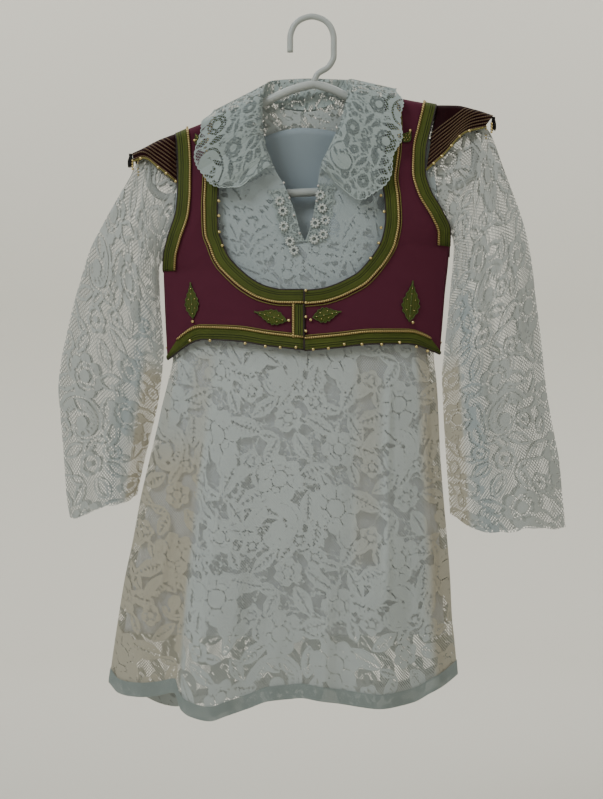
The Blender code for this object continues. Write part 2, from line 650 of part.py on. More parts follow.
def neck_top(x, neck, line):
    """Top edge of a back: its shoulder line, and the neck edge between the shoulders."""
    return read(neck, x) if neck[0][0] < x < neck[-1][0] else line(x)


def dress_back_grid():
    rows = []
    for level in BACK_LEVELS:
        row = []
        for column in BACK_COLUMNS:
            top = neck_top(mix(DRESS_SIDE_LEFT[0][1], DRESS_SIDE_RIGHT[0][1], column),
                           NECK_BACK, shoulder)
            hem = back_hem(column)
            z = hem + BAND_HEIGHT if level == "band" else mix(top, hem, level)
            x = side_points(z, column)
            row.append((x, dress_depth(x, z, 1), z))
        rows.append(row)
    return rows


def back_hem(column):
    """The back hem is calmer than the front's and meets it at both sides."""
    calm = read(HEM_FRONT, 0.5 + (column - 0.5) * 0.5) - BACK_DROP
    return mix(read(HEM_FRONT, round(column)), calm, smooth(min(column, 1.0 - column) / 0.2))


def gap_rule(spec):
    """Which cells of a grid have a gap of the lace in them: every so many, on a slant."""

    def has_gap(i, j):
        inside = spec["first_row"] <= i <= spec["last_row"] and 0 < j <= spec["last_column"]
        return inside and (i + 2 * j) % spec["every"] == 0

    return has_gap


def add_dress_body(parts, lace):
    """The lace front and back, their hem bands and the slit's two trims."""
    left = upper_front("left")
    right = upper_front("right")
    lower = lower_front(left[-1] + right[-1][1:])

    holes = [None, None, gap_rule(FRONT_GAPS)]
    add_cloth(parts, "dress_front", [left, right, lower], lace, holes=holes)
    back = dress_back_grid()
    add_cloth(parts, "dress_back", [back], lace, holes=[gap_rule(BACK_GAPS)])
    add_cloth(parts, "hem_band_front", [strip(lower[-2:], -LIFT)], lace, RIBBON)
    add_cloth(parts, "hem_band_back", [strip(back[-2:], LIFT)], lace, RIBBON)
    left_trim = np.array(left)[TRIM_ROW:, -2:]
    right_trim = np.array(right)[TRIM_ROW:, :2]
    left_trim[1::2, 0, 0] -= TRIM_WAVE
    right_trim[1::2, 1, 0] += TRIM_WAVE
    add_cloth(parts, "slit_trim_left", [strip(left_trim, -LIFT)], lace, RIBBON)
    add_cloth(parts, "slit_trim_right", [strip(right_trim, -LIFT)], lace, RIBBON)


def add_lining(parts, material):
    """A plain lining, front and back, which ends above the lace hem."""
    for name, side in (("lining_front", -1), ("lining_back", 1)):
        rows = []
        for level in LINING_LEVELS:
            row = []
            for column in LINING_COLUMNS:
                top = read(LINING_TOP_FRONT if side < 0 else LINING_TOP_BACK, column)
                z = mix(top, LINING_HEM, level)
                low = read(DRESS_SIDE_LEFT, z) + LINING_INSET
                high = read(DRESS_SIDE_RIGHT, z) - LINING_INSET
                x = mix(low, high, column)
                row.append((x, side * lining_depth(x, z, side), z))
            rows.append(row)
        add_cloth(parts, name, [rows], material)


def sleeve_depth(spec, share, down, place, side):
    """Distance of a sleeve's wall from the middle plane.

    share runs across from the outer edge to the inner one, and down from the armhole
    to the cuff. At the armhole the sleeve takes the body's depth, and its shoulder
    rounds over the hanger's end.
    """
    full = read(SLEEVE_DEPTH, down)
    swell = 1.0 - abs(2.0 * share - 1.0) ** BODY_FULLNESS
    depth = SEAM + full * swell
    for top, cuff, height, width in spec["folds"]:
        middle = mix(top, cuff, down)
        edge = smooth(min(share, 1.0 - share) / 0.12)
        depth += height * smooth(down / 0.3) * edge * math.exp(-((share - middle) / width) ** 2)
    gap = place["from_outer"]
    cap = NECK_TOP * quarter(gap / SHOULDER_ROUND) * (1.0 - smooth((gap - CAP_FLAT) / CAP_FALL))
    depth = max(depth, SEAM + cap * (1.0 - smooth((down - CAP_END) / CAP_FADE)))
    x, z = place["armhole"]
    start = dress_depth(x, z, side) if 0.0 < share < 1.0 else SEAM
    return mix(start, depth, smooth(down / 0.12))


def sleeve_grid(spec, side):
    outer, inner, cuff = (np.array(spec[key], dtype=float) for key in ("outer", "inner", "cuff"))
    table, under, away = spec["side"], spec["under"], spec["away"]
    top = table[0][0]
    armhole = [(read(table, z) + away * BUTT, z) for z in np.linspace(top, under, 7)]
    armhole[0] = tuple(outer[0])
    armhole[-1] = tuple(inner[0])
    rows = []
    for i in range(SLEEVE_ROWS + 1):
        down = i / SLEEVE_ROWS
        out_point, in_point = along(outer, down), along(inner, down)
        row = []
        for j in range(SLEEVE_COLUMNS + 1):
            share = SLEEVE_SHARES[j]
            first, last = along(armhole, share), along(cuff, share)
            flat = mix(out_point, in_point, share)
            flat = flat + mix(first - mix(outer[0], inner[0], share),
                              last - mix(cuff[0], cuff[-1], share), down)
            place = {"from_outer": share * float(np.linalg.norm(in_point - out_point)),
                     "armhole": first}
            depth = sleeve_depth(spec, share, down, place, side)
            row.append((flat[0], side * depth, flat[1]))
        rows.append(row)
    return rows


def add_sleeves(parts, lace):
    """Wide unlined sleeves; each tube is cut in two along its edges."""

    def gap(i, j):
        return 2 <= i < SLEEVE_ROWS and (i + 2 * j) % 3 == 0 and 1 < j < SLEEVE_COLUMNS - 1

    for name, spec in SLEEVES.items():
        for face, side in (("front", -1), ("back", 1)):
            grid = sleeve_grid(spec, side)
            add_cloth(parts, f"sleeve_{name}_{face}", [grid], lace, holes=[gap])


def collar_seam(x, z, off):
    """The collar's sewn edge: in front of the dress's neck edge, or standing on the back's."""
    if off < 0.0:
        return np.array([x, off - dress_depth(x, z, -1), z])
    if off == 0.0:
        return np.array([x, 0.0, z])
    neck = read(NECK_BACK, x)
    return np.array([x, dress_depth(x, neck, 1), neck + COLLAR_STAND])


def add_collar(parts, lace):
    """One strip of lace that stands at the neck and folds out over the waistcoat."""
    table = np.array(COLLAR, dtype=float)
    keys = np.linspace(0.0, 1.0, len(table))
    grid = []
    for i in range(COLLAR_ROWS + 1):
        share = i / COLLAR_ROWS
        values = [read(list(zip(keys, table[:, k])), share) for k in range(9)]
        seam = collar_seam(*values[:3])
        fold, edge = np.array(values[3:6]), np.array(values[6:9])
        wave = 0.5 - 0.5 * math.cos(2.0 * math.pi * COLLAR_SCALLOPS * share)
        out = edge - fold
        edge = edge + out / np.linalg.norm(out) * SCALLOP_DEPTH * (wave - 0.5)
        ripple = COLLAR_RIPPLE * math.sin(2.0 * math.pi * COLLAR_SCALLOPS * share / 2.0)
        row = [seam, mix(seam, fold, 0.5), fold]
        for step in COLLAR_STEPS:
            point = mix(fold, edge, step)
            roll = quarter(step / COLLAR_ROLL)
            point[1] = mix(fold[1], edge[1], roll) + math.copysign(ripple * step, edge[1])
            row.append(point)
        grid.append(row)

    def gap(i, j):
        return 4 <= j < 6 and i % 3 == 1 and 1 < i < COLLAR_ROWS - 2

    add_cloth(parts, "collar", [grid], lace, holes=[gap])


def vest_front_rows(name):
    """The sections of a front, with those added where it rounds over the shoulder."""
    table = np.array(VEST_FRONTS[name], dtype=float)
    added = [mix(table[0], table[1], share) for share in ROUND_ROWS]
    return np.array([table[0], *added, *table[1:]])


def turn(edge, i, inward):
    """Direction square to an edge at its point i, on the side of inward, and its stretch.

    By the shoulder and at the last point it keeps to the row; elsewhere it halves the angle.
    """
    if i <= len(ROUND_ROWS) or i == len(edge) - 1:
        near = edge[i + 1] if i < len(edge) - 1 else edge[-2]
        line = (edge[i] - near) / np.linalg.norm(edge[i] - near)
        row = inward / np.linalg.norm(inward)
        return row, abs(row[0] * line[1] - row[1] * line[0])
    before = (edge[i] - edge[i - 1]) / np.linalg.norm(edge[i] - edge[i - 1])
    after = (edge[i + 1] - edge[i]) / np.linalg.norm(edge[i + 1] - edge[i])
    line = (before + after) / np.linalg.norm(before + after)
    square = np.array([line[1], -line[0]])
    if square @ inward < 0.0:
        square = -square
    return square, math.sqrt((1.0 + before @ after) / 2.0)


def vest_front_grid(name):
    """A waistcoat front: each row runs from the neck edge to the outer edge.

    The columns near both edges lie at the ribbons' real widths, square to the edge.
    """
    table = vest_front_rows(name)
    inner, outer = table[:, :2], table[:, 2:]
    grid = []
    for i in range(len(table)):
        away, stretch = turn(inner, i, outer[i] - inner[i])
        starts = [inner[i] + away * step / stretch for step in NECK_TRIM]
        away, stretch = turn(outer, i, inner[i] - outer[i])
        stops = [outer[i] + away * step / stretch for step in EDGE_TRIM[::-1]]
        between = [mix(starts[-1], stops[0], k / 3.0) for k in (1, 2)]
        row = []
        for x, z in starts + between + stops:
            if i == 0:
                z = vest_line(x)
            row.append((x, -vest_depth(x, z, -1), z))
        grid.append(row)
    return np.array(grid)


def add_vest_fronts(parts, paint):
    """Both fronts with the green ribbons on their edges, each with its raised gold cord."""
    cord = [0.0, 0.0, CORD_RAISE, 0.0]
    for name in VEST_FRONTS:
        grid = vest_front_grid(name)
        add_cloth(parts, f"vest_front_{name}", [grid], paint["burgundy"])
        green = paint["green"]
        neck = strip(grid[:, :4], -LIFT, cord, sides=(False, True))
        add_cloth(parts, f"neck_ribbon_{name}", [neck], green, RIBBON)
        foot, corner = (row + len(ROUND_ROWS) for row in (ARMHOLE_END, SIDE_END))
        arm = strip(grid[:foot + 1, -4:], -LIFT, cord[::-1], sides=(True, False))
        add_cloth(parts, f"armhole_ribbon_{name}", [arm], green, RIBBON)
        hem = strip(grid[corner - 1:, -4:], -LIFT, cord[::-1], sides=(True, False))
        add_cloth(parts, f"hem_ribbon_{name}", [hem], green, RIBBON)
    last, before = (vest_front_grid("left")[row, 3:7] for row in (-1, -2))
    rows = []
    for step in FRONT_EDGE[::-1]:
        points = mix(last, before, step / (last[-1, 0] - before[-1, 0]))
        x = last[0, 0] - step
        rows.append([(x, -vest_depth(x, z, -1), z) for z in points[:, 2]])
    front = strip(rows, -LIFT, ends=(True, False))
    add_cloth(parts, "front_ribbon", [front], paint["green"], RIBBON)


def add_vest_back(parts, paint):
    """A plain back with the same ribbons round its edges."""
    rows = []
    for level in VEST_BACK_LEVELS:
        row = []
        for column in VEST_BACK_COLUMNS:
            straight = mix(VEST_FRONTS["left"][0][2], VEST_FRONTS["right"][0][2], column)
            top = neck_top(straight, VEST_BACK_NECK, vest_line)
            hem = read(VEST_BACK_HEM, column)
            steps = {"round": top - BACK_ROUND, "neck": top - NECK_TRIM[1], "neck_end": top - NECK_TRIM[3],
                     "hem_top": hem + EDGE_TRIM[3], "hem_low": hem + EDGE_TRIM[1]}
            z = steps[level] if level in steps else mix(top, hem, level)
            low, high = vest_edge(-1, z, "left"), vest_edge(1, z, "right")
            x = mix(low, high, column)
            for place, step in ((1, EDGE_TRIM[1]), (2, EDGE_TRIM[3])):
                if column == VEST_BACK_COLUMNS[place]:
                    x = low + step
                if column == VEST_BACK_COLUMNS[-1 - place]:
                    x = high - step
            row.append((x, vest_depth(x, z, 1), z))
        rows.append(row)
    grid = np.array(rows)
    add_cloth(parts, "vest_back", [grid], paint["burgundy"])
    green = paint["green"]
    neck = strip(grid[:4, 5:-5], LIFT)
    add_cloth(parts, "neck_ribbon_back", [neck], green, RIBBON)
    arm = strip(grid[:VEST_BACK_ARMHOLE + 1, :3], LIFT, sides=(False, True))
    add_cloth(parts, "armhole_ribbon_left_back", [arm], green, RIBBON)
    arm = strip(grid[:VEST_BACK_ARMHOLE + 1, -3:], LIFT, sides=(True, False))
    add_cloth(parts, "armhole_ribbon_right_back", [arm], green, RIBBON)
    hem = strip(grid[-3:], LIFT, ends=(True, False), sides=(False, False))
    add_cloth(parts, "hem_ribbon_back", [hem], green, RIBBON)


def add_wings(parts, braid):
    """Pointed wings folded over the shoulders, with raised rows of braid along them."""
    for name, spec in WINGS.items():
        rows = []
        for i in range(2 * WING_ROWS + 1):
            level = (i - WING_ROWS) / WING_ROWS
            side = -1 if level < 0.0 else 1
            row = []
            for share in WING_SHARES:
                fold, edge = along(spec["fold"], share), along(spec["edge"], share)
                x, z = mix(fold, edge, abs(level))
                x += spec["side"] * BUTT * (1.0 - share)
                drop = abs(level) * np.linalg.norm(edge - fold)
                rounded = WING_DEPTH * quarter(drop / WING_ROUND) + drop * WING_SLOPE
                body = vest_depth(x, z, side) - SEAM
                depth = mix(body, rounded, smooth(share / WING_EASE))
                if level == 0.0:
                    depth = 0.0
                if i % 2 == 1 and share > 0.0:
                    depth += WING_CORDS
                row.append((x, side * depth, z))
            rows.append(row)
        add_cloth(parts, f"wing_{name}", [rows], braid)


def add_leaves(parts, green):
    """Pointed leaves of ribbon laid on the fronts."""
    for name, x_mid, z_mid, length, width, turn in LEAVES:
        angle = math.radians(turn)
        rows = []
        for along_leaf in LEAF_STEPS:
            half = 0.5 * width * max(math.sin(math.pi * along_leaf) ** 0.8, 0.12)
            row = []
            for across in (-1.0, 0.0, 1.0):
                up = (0.5 - along_leaf) * length
                x = x_mid + across * half * math.cos(angle) - up * math.sin(angle)
                z = z_mid + across * half * math.sin(angle) + up * math.cos(angle)
                row.append((x, -vest_depth(x, z, -1) - LIFT - LEAF_LIFT, z))
            rows.append(row)
        add_cloth(parts, name, [rows], green, RIBBON)


def add_tassels(parts, cutters, thread):
    """A small tassel at each wing's point: a head with thin strands fused into it."""
    for name, x, z in TASSELS:
        bpy.ops.mesh.primitive_cone_add(
            vertices=8, radius1=TASSEL_RADIUS * MM, radius2=0.5 * TASSEL_RADIUS * MM,
            depth=TASSEL_HEAD * MM, location=(x * MM, 0.0, z * MM))
        head = bpy.context.object
        head.name = name
        head.data.materials.append(thread)
        for group in head.users_collection:
            group.objects.unlink(head)
        parts.objects.link(head)
        strands = bmesh.new()
        for k in range(TASSEL_STRANDS):
            angle = 2.0 * math.pi * k / (TASSEL_STRANDS - 1)
            spread = 0.0 if k == TASSEL_STRANDS - 1 else STRAND_SPREAD
            made = bmesh.ops.create_cone(
                strands, cap_ends=True, segments=4, radius1=STRAND_TAPER * STRAND_RADIUS * MM,
                radius2=STRAND_RADIUS * MM, depth=STRAND_LENGTH * MM)
            for vert in made["verts"]:
                low = 0.5 - vert.co.z / (STRAND_LENGTH * MM)
                reach = spread * (STRAND_START + STRAND_OPENING * spread * low)
                vert.co.x += math.cos(angle) * reach * MM
                vert.co.y += math.sin(angle) * reach * MM
                vert.co += Vector((x, 0.0, z - 0.5 * STRAND_LENGTH)) * MM
        mesh = bpy.data.meshes.new(f"{name}_strands")
        strands.to_mesh(mesh)
        strands.free()
        cutter = bpy.data.objects.new(f"{name}_strands", mesh)
        cutters.objects.link(cutter)
        cutter.hide_render = True
        cutter.display_type = "WIRE"
        join = head.modifiers.new("strands", "BOOLEAN")
        join.operation = "UNION"
        join.object = cutter


def main():
    clear_scene()
    parts = make_collection("folk_costume")
    cutters = make_collection("cutters")
    paint = {name: make_material(name) for name in COLOURS}
    add_hanger(parts, cutters, paint["plastic"])
    add_lining(parts, paint["lining"])
    add_dress_body(parts, paint["lace"])
    add_sleeves(parts, paint["lace"])
    add_collar(parts, paint["lace"])
    add_vest_fronts(parts, paint)
    add_vest_back(parts, paint)
    add_wings(parts, paint["braid"])
    add_leaves(parts, paint["green"])
    add_tassels(parts, cutters, paint["thread"])


main()
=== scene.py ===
"""A child's folk costume on a clothes hanger: its looks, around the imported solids.

A white lace dress with wide sleeves, a plain lining and a folded lace collar, and over
it a short satin waistcoat with ribbon edges, gold cords, beads and pointed wings.
Shapes are worked out in millimetres, and meshes are made in metres.
"""
import functools
import json
import math

import bmesh
import bpy
import numpy as np
from bpy.props import FloatProperty, FloatVectorProperty, PointerProperty
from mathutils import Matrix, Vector

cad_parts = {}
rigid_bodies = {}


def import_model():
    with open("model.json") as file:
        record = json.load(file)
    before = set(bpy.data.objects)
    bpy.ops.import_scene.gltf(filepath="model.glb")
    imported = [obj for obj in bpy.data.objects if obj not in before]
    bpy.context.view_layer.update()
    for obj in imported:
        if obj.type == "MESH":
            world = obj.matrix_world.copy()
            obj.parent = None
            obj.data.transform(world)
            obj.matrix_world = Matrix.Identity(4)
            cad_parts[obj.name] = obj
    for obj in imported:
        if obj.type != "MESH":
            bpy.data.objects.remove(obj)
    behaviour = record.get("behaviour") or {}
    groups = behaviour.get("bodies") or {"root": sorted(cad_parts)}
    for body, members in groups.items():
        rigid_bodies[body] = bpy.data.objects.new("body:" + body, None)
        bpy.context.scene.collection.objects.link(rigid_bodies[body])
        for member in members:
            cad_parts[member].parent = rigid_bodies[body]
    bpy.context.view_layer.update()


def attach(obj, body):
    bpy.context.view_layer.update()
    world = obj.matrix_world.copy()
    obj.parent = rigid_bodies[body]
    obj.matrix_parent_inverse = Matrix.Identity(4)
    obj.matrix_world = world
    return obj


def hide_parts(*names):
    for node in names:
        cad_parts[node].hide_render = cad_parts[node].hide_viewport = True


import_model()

bl_info = {
    "name": "Folk Costume",
    "version": (1, 0, 0),
    "blender": (4, 5, 0),
    "location": "View3D > Sidebar > Costume",
    "description": "Builds a lace dress and a waistcoat that hang on a hanger",
    "category": "Add Mesh",
}

MM = 0.001
FLOOR = -1.05

# Cloth and seams, in millimetres
SEAM = 0.7
BUTT = 0.45
SATIN_WALL = 1.1
LINING_WALL = 0.9
RIBBON_WALL = 0.9
LIFT = 1.5                 # from the cloth up to what is sewn on it
CORD_LIFT = 1.1            # from there up to the middle of a gold cord
PIPING_LIFT = 1.3

# Dress
NECK_TOP = 7.0
SHOULDER_ROUND = 6.0
SHOULDER_FALL = 80.0
BODY_FULLNESS = 2.4
ARMHOLE_DEPTH = 10.5
ARMHOLE_TOP = {"left": -130.0, "right": -102.0}
UNDERARM = {"left": -262.0, "right": -234.0}
SLIT_BOTTOM = -246.0
BAND_HEIGHT = 16.0
BACK_DROP = 4.0

# Waistcoat
VEST_ROUND = 10.6
VEST_SHOULDER_ROUND = 8.0
VEST_SPARE = 6.5
VEST_FULLNESS = 3.0
VEST_ARMHOLE = 17.0
VEST_ARMHOLE_TOP = {"left": -126.0, "right": -96.0}
VEST_UNDERARM = {"left": -276.0, "right": -249.0}

HANGER_ARMS = [
    # x, z: one round, from the neck down the left arm, along the bar, up the right arm
    (2, -71), (-18, -76), (-44, -87), (-76, -105), (-107, -121), (-145, -138), (-165, -148),
    (-176, -157), (-179, -171), (-174, -188), (-160, -196), (-120, -196), (-60, -193), (0, -190),
    (70, -188), (130, -187), (160, -183), (176, -171), (180, -152), (178, -132), (168, -120),
    (135, -108), (91, -99), (64, -92), (38, -84), (20, -76)]
HANGER_HOOK = [
    # x, z: from the neck round the bend to the tip
    (2, -69), (6, -60), (18, -52), (24, -40), (24, -20.6), (20.8, -8.6), (12, 0.2), (0, 3.4),
    (-12, 0.2), (-20.8, -8.6), (-24, -20.6), (-24, -36)]
TUBE_RADIUS = 4.7
HOOK_RADIUS = 3.4

SHOULDER_LINE = [
    # x, z of the dress's shoulder and sleeve top
    (-200, -157), (-189, -150), (-179, -144), (-145, -129), (-107, -113), (-76, -96), (-59, -87),
    (46, -79), (64, -82.5), (91, -90), (135, -99), (178, -107), (196, -113), (210, -119)]
VEST_RISE = [(-200, 4.0), (-150, 4.0), (-90, 4.0), (80, 4.0), (140, 4.5), (210, 6.0)]
DRESS_SIDE = {
    "left": [
        # z, x: a straight armhole down to the underarm, then the side
        (-129, -143), (-262, -155), (-281, -156), (-309, -155), (-331, -153.5), (-372, -153),
        (-397, -158), (-419, -163.5), (-452, -171), (-485, -179), (-529, -189), (-573, -197),
        (-610, -205), (-658, -213), (-726, -223)],
    "right": [
        (-97, 125), (-234, 141), (-259, 142), (-290, 141), (-321, 138.5), (-350, 135.5),
        (-368, 134), (-397, 137), (-419, 138.5), (-474, 141), (-529, 145), (-573, 149),
        (-614, 152), (-656, 154), (-685, 157), (-720, 160)]}
NECKLINE = {
    "left": [
        # x, z from the neck point to the foot of the slit
        (-60, -88), (-56, -102), (-53, -124), (-51, -139), (-46, -152), (-40, -168), (-31, -183),
        (-25, -197), (-18, -216), (-13, -234), (-8, -246)],
    "right": [
        (47, -79), (41, -87), (35, -104), (29, -126), (19, -146), (9, -166), (6, -184), (4, -200),
        (0, -222), (-4, -236), (-8, -246)]}
DEPTH = [
    # z, front, back: from the middle plane to the dress's wall
    (-80, 12, 12), (-120, 15, 15), (-165, 19, 18), (-220, 21, 20), (-275, 22, 20), (-380, 25, 23),
    (-500, 29, 28), (-620, 34, 33), (-740, 38, 36)]
HEM_FRONT = [
    # share of the width, z of the hem's edge; the hem drops at the fold
    (0.0, -729), (0.03, -740), (0.06, -742), (0.1, -742), (0.15, -740), (0.195, -736),
    (0.215, -753), (0.24, -759), (0.295, -763), (0.34, -758), (0.4, -751), (0.46, -743), (0.52, -741),
    (0.55, -740), (0.6, -743), (0.668, -747), (0.72, -750), (0.775, -752), (0.83, -750),
    (0.873, -747), (0.92, -738), (0.967, -729), (1.0, -720)]
FOLDS_FRONT = [
    # share of the width at the top and at the hem, z where it starts, height, half width at the hem
    (0.30, 0.30, -420, 11.0, 0.075), (0.47, 0.45, -520, 3.5, 0.05), (0.62, 0.60, -470, 4.0, 0.05),
    (0.84, 0.775, -400, 11.0, 0.08), (0.94, 0.93, -450, 5.0, 0.03), (0.07, 0.09, -440, 6.0, 0.04)]
FOLDS_BACK = [
    (0.18, 0.16, -400, 9.0, 0.07), (0.36, 0.38, -480, 6.0, 0.06), (0.56, 0.55, -420, 11.0, 0.08),
    (0.74, 0.76, -460, 7.0, 0.06), (0.90, 0.91, -430, 6.0, 0.05)]
STEP_FOLD = {"top": 0.175, "hem": 0.207, "start": -372.0, "height": 13.0, "rise": 0.012, "fade": 0.16}
MIDDLE = 0.49              # share of the width where the slit's foot lies
FRONT_MIDDLE = 92          # the column of the front's fine grid that lies there
BACK_MIDDLE = 73
BAND_SHORT = 0.3
TRIM_START = 0.62
TRIM_COLUMNS = 15
NECK_BACK = [
    # x, z of the back's neck edge, between the two shoulders
    (-59, -87), (-52, -88.5), (-45, -92), (-28, -98), (-6, -100), (16, -96), (32, -88),
    (39, -82), (46, -79)]

SLEEVES = {
    "left": {
        "outer": [
            # x, z from the shoulder to the cuff
            (-144, -129.5), (-170, -141), (-185, -148), (-194, -160), (-200, -173), (-209, -188),
            (-221, -209), (-234, -233), (-244, -253), (-252, -278), (-258, -298), (-264, -320),
            (-269, -342), (-276, -376), (-279, -405), (-277, -433), (-275, -457), (-273, -481),
            (-271, -511), (-269, -532), (-266, -548)],
        "inner": [
            (-155.6, -262), (-163, -264), (-168, -274), (-167, -309), (-164, -345), (-163, -364),
            (-164, -380), (-168, -415), (-176, -452), (-184, -485), (-189, -507), (-192, -521)],
        "cuff": [(-266, -548), (-254, -546), (-240, -539), (-222, -533), (-212, -532), (-201, -528),
                 (-192, -521)],
        "away": -1.0, "folds": [(0.62, 0.55, 3.5, 0.10), (0.30, 0.34, 2.5, 0.08)]},
    "right": {
        "outer": [
            (126, -97.5), (157, -104), (178, -110), (191, -118), (199, -131), (208, -156), (218, -183),
            (227, -207), (236, -237), (242, -269), (246, -305), (251, -343), (253, -361), (258, -408),
            (263, -438), (269, -469), (272, -485), (275, -518), (279, -558)],
        "inner": [
            (142, -234), (154, -238), (156, -251), (153, -290), (150, -321), (147, -350), (145, -370),
            (143, -390), (144, -419), (147, -474), (151, -529), (152, -542)],
        "cuff": [(279, -558), (264, -559), (238, -557), (222, -561), (207, -562), (184, -561),
                 (173, -556), (161, -549), (152, -542)],
        "away": 1.0, "folds": [(0.60, 0.66, 4.0, 0.10), (0.28, 0.30, 2.5, 0.08)]}}
SLEEVE_DEPTH = [(0.0, 11.0), (0.15, 12.0), (0.45, 14.0), (0.75, 16.0), (1.0, 17.0)]
CAP_FLAT = 18.0
CAP_FALL = 30.0
CAP_END = 0.2
CAP_FADE = 0.15

VEST_FRONTS = {
    "left": [
        # neck edge x, z and outer edge x, z: shoulder, armhole, side, then round the hem
        (-92, -104, -149, -126), (-99, -133, -147, -146), (-101, -160, -146, -168),
        (-102, -188, -146, -188), (-103, -209, -148, -212), (-102, -234, -157, -240),
        (-98, -246, -162, -260), (-94, -257, -163, -276), (-90, -264, -162, -305),
        (-84, -271, -160, -349), (-77, -278, -158, -374), (-66, -287, -120, -352.5),
        (-51, -295, -84, -354), (-31, -299, -48, -359.5), (-9, -299, -9, -364)],
    "right": [
        (79, -84, 136, -96), (81, -116, 129, -124), (80, -144, 124, -146), (76, -177, 123, -168),
        (79, -199, 128, -188), (80, -221, 142, -212), (76, -244, 151, -233), (68, -259, 151, -249),
        (62, -267, 147, -289), (56, -274, 142, -349), (49, -281, 140, -368), (37, -288, 104, -357),
        (24, -294, 66, -357.5), (8, -298.5, 29, -361.5), (-8.2, -300, -8.2, -365)]}
ARMHOLE_END = 7
SIDE_END = 10
ROUND_ROWS = (0.12, 0.4)
NECK_TRIM = (0.0, 10.0, 12.5, 15.5)
EDGE_TRIM = (0.0, 10.0, 12.5, 14.5)
FRONT_RIBBON = 13.0
VEST_BACK_NECK = [
    # x, z of the back's neck edge, between the fronts' neck points
    (-92, -101), (-90, -103.5), (-84, -112), (-66, -122), (-40, -127), (-6, -128), (30, -123),
    (56, -110), (70, -96), (76.5, -86), (79, -82)]
VEST_BACK_COLUMNS = [0.0, 0.04, 0.06, 0.13, 0.2, 0.207, 0.23, 0.29, 0.38, 0.5, 0.63, 0.72, 0.77,
                     0.793, 0.8, 0.87, 0.94, 0.96, 1.0]
VEST_BACK_LEVELS = (0.0, "round", "neck", "neck_end", 0.16, 0.28, 0.4, 0.52, 0.61, 0.78, "hem_top",
                    "hem_low", 1.0)
VEST_BACK_ARMHOLE = 8
VEST_BACK_HEM = [(0.0, -374), (0.14, -354), (0.5, -358), (0.86, -354), (1.0, -368)]

WINGS = {
    "left": {"fold": [(-149.6, -126), (-168, -133), (-185, -142), (-197, -147.5)],
             "edge": [(-147, -181), (-167, -165), (-184, -154), (-195, -157.5)], "side": -1.0},
    "right": {"fold": [(136.6, -94.7), (158, -95), (180, -99.8), (199, -106)],
              "edge": [(124, -168), (143, -151), (168, -126), (188, -121)], "side": 1.0}}
WING_DEPTH = 11.0
WING_ROUND = 8.0
WING_SLOPE = 0.14
WING_EASE = 0.2
WING_RIM = 0.999
BRAIDS = 9
BRAID_START = 2.2
BRAID_SPACING = 5.0

COLLAR = [
    # seam x, z, how far it lies off the dress; fold x, y, z; edge x, y, z
    # from the left front round the back to the right front
    (-38, -172, -1.6, -40, -27.5, -167, -56, -33, -168),
    (-43, -161, -1.6, -44, -27.5, -160, -76, -34, -186),
    (-47, -152, -1.6, -48, -26.5, -150, -92, -34, -189),
    (-51, -141, -1.6, -51, -24, -136, -110, -33, -181),
    (-53, -126, -1.6, -53, -21, -122, -125, -32, -164),
    (-54, -112, -1.6, -54, -18, -104, -124, -29, -142),
    (-57, -98, -1.6, -53, -13, -88, -119, -22, -118),
    (-58.5, -86, -3.0, -52, -5, -76, -112, -9, -107),
    (-58.5, -85, 0.0, -50, 0, -70, -104, 0, -99),
    (-48, -91, 0.9, -44, 12, -65, -88, 22, -120),
    (-28, -96.6, 0.9, -22, 19, -62, -56, 33, -158),
    (-6, -98.6, 0.9, -3, 21, -61, -6, 35, -166),
    (17, -94.4, 0.9, 20, 19, -62, 48, 33, -152),
    (36, -86, 0.9, 38, 12, -64, 84, 22, -100),
    (45, -76.5, 0.0, 43, 0, -65, 90, 0, -76),
    (44.5, -78, -3.0, 42, -5, -68, 94, -10, -84),
    (41, -88, -1.6, 40, -13, -78, 97, -22, -100),
    (35, -104, -1.6, 36, -18, -96, 96, -29, -126),
    (29, -126, -1.6, 30, -23, -118, 90, -32, -148),
    (20, -145, -1.6, 22, -26, -136, 84, -33, -170),
    (14, -156, -1.6, 16, -27.5, -149, 72, -34, -192),
    (9, -166, -1.6, 11, -28, -159, 50, -34, -200),
    (6, -174, -1.6, 9, -28, -166, 26, -33, -184)]
COLLAR_STAND = 1.7
COLLAR_SCALLOPS = 12
SCALLOP_DEPTH = 4.0
COLLAR_RIPPLE = 2.0
COLLAR_ROLL = 0.25
COLLAR_LOOPS = 48
COLLAR_LOOP = 1.5

LEAVES = [
    # name, middle x, z, length, width, turn in degrees
    ("leaf_left_side", -131.5, -310, 40, 13, 4), ("leaf_left_centre", -45, -328, 37, 14, 74),
    ("leaf_right_centre", 16, -326, 32, 14, -78), ("leaf_right_side", 108, -311, 45, 17, -5),
    ("leaf_left_collar", -124, -134, 15, 9, 30), ("leaf_right_collar", 104, -131, 15, 9, -35)]
LEAF_DOTS = [(10, 4), (18, 4), (26, 2), (26, 6), (34, 4), (40, 2), (40, 6), (48, 4)]   # row, column
TASSELS = [("tassel_left", -199.5, -151), ("tassel_right", 199.7, -110.6)]
STRANDS = 34
STRAND_TURN = 2.39996      # from strand to strand, in radians: they fill the round evenly
BINDINGS = (1.2, 2.1, 3.0)

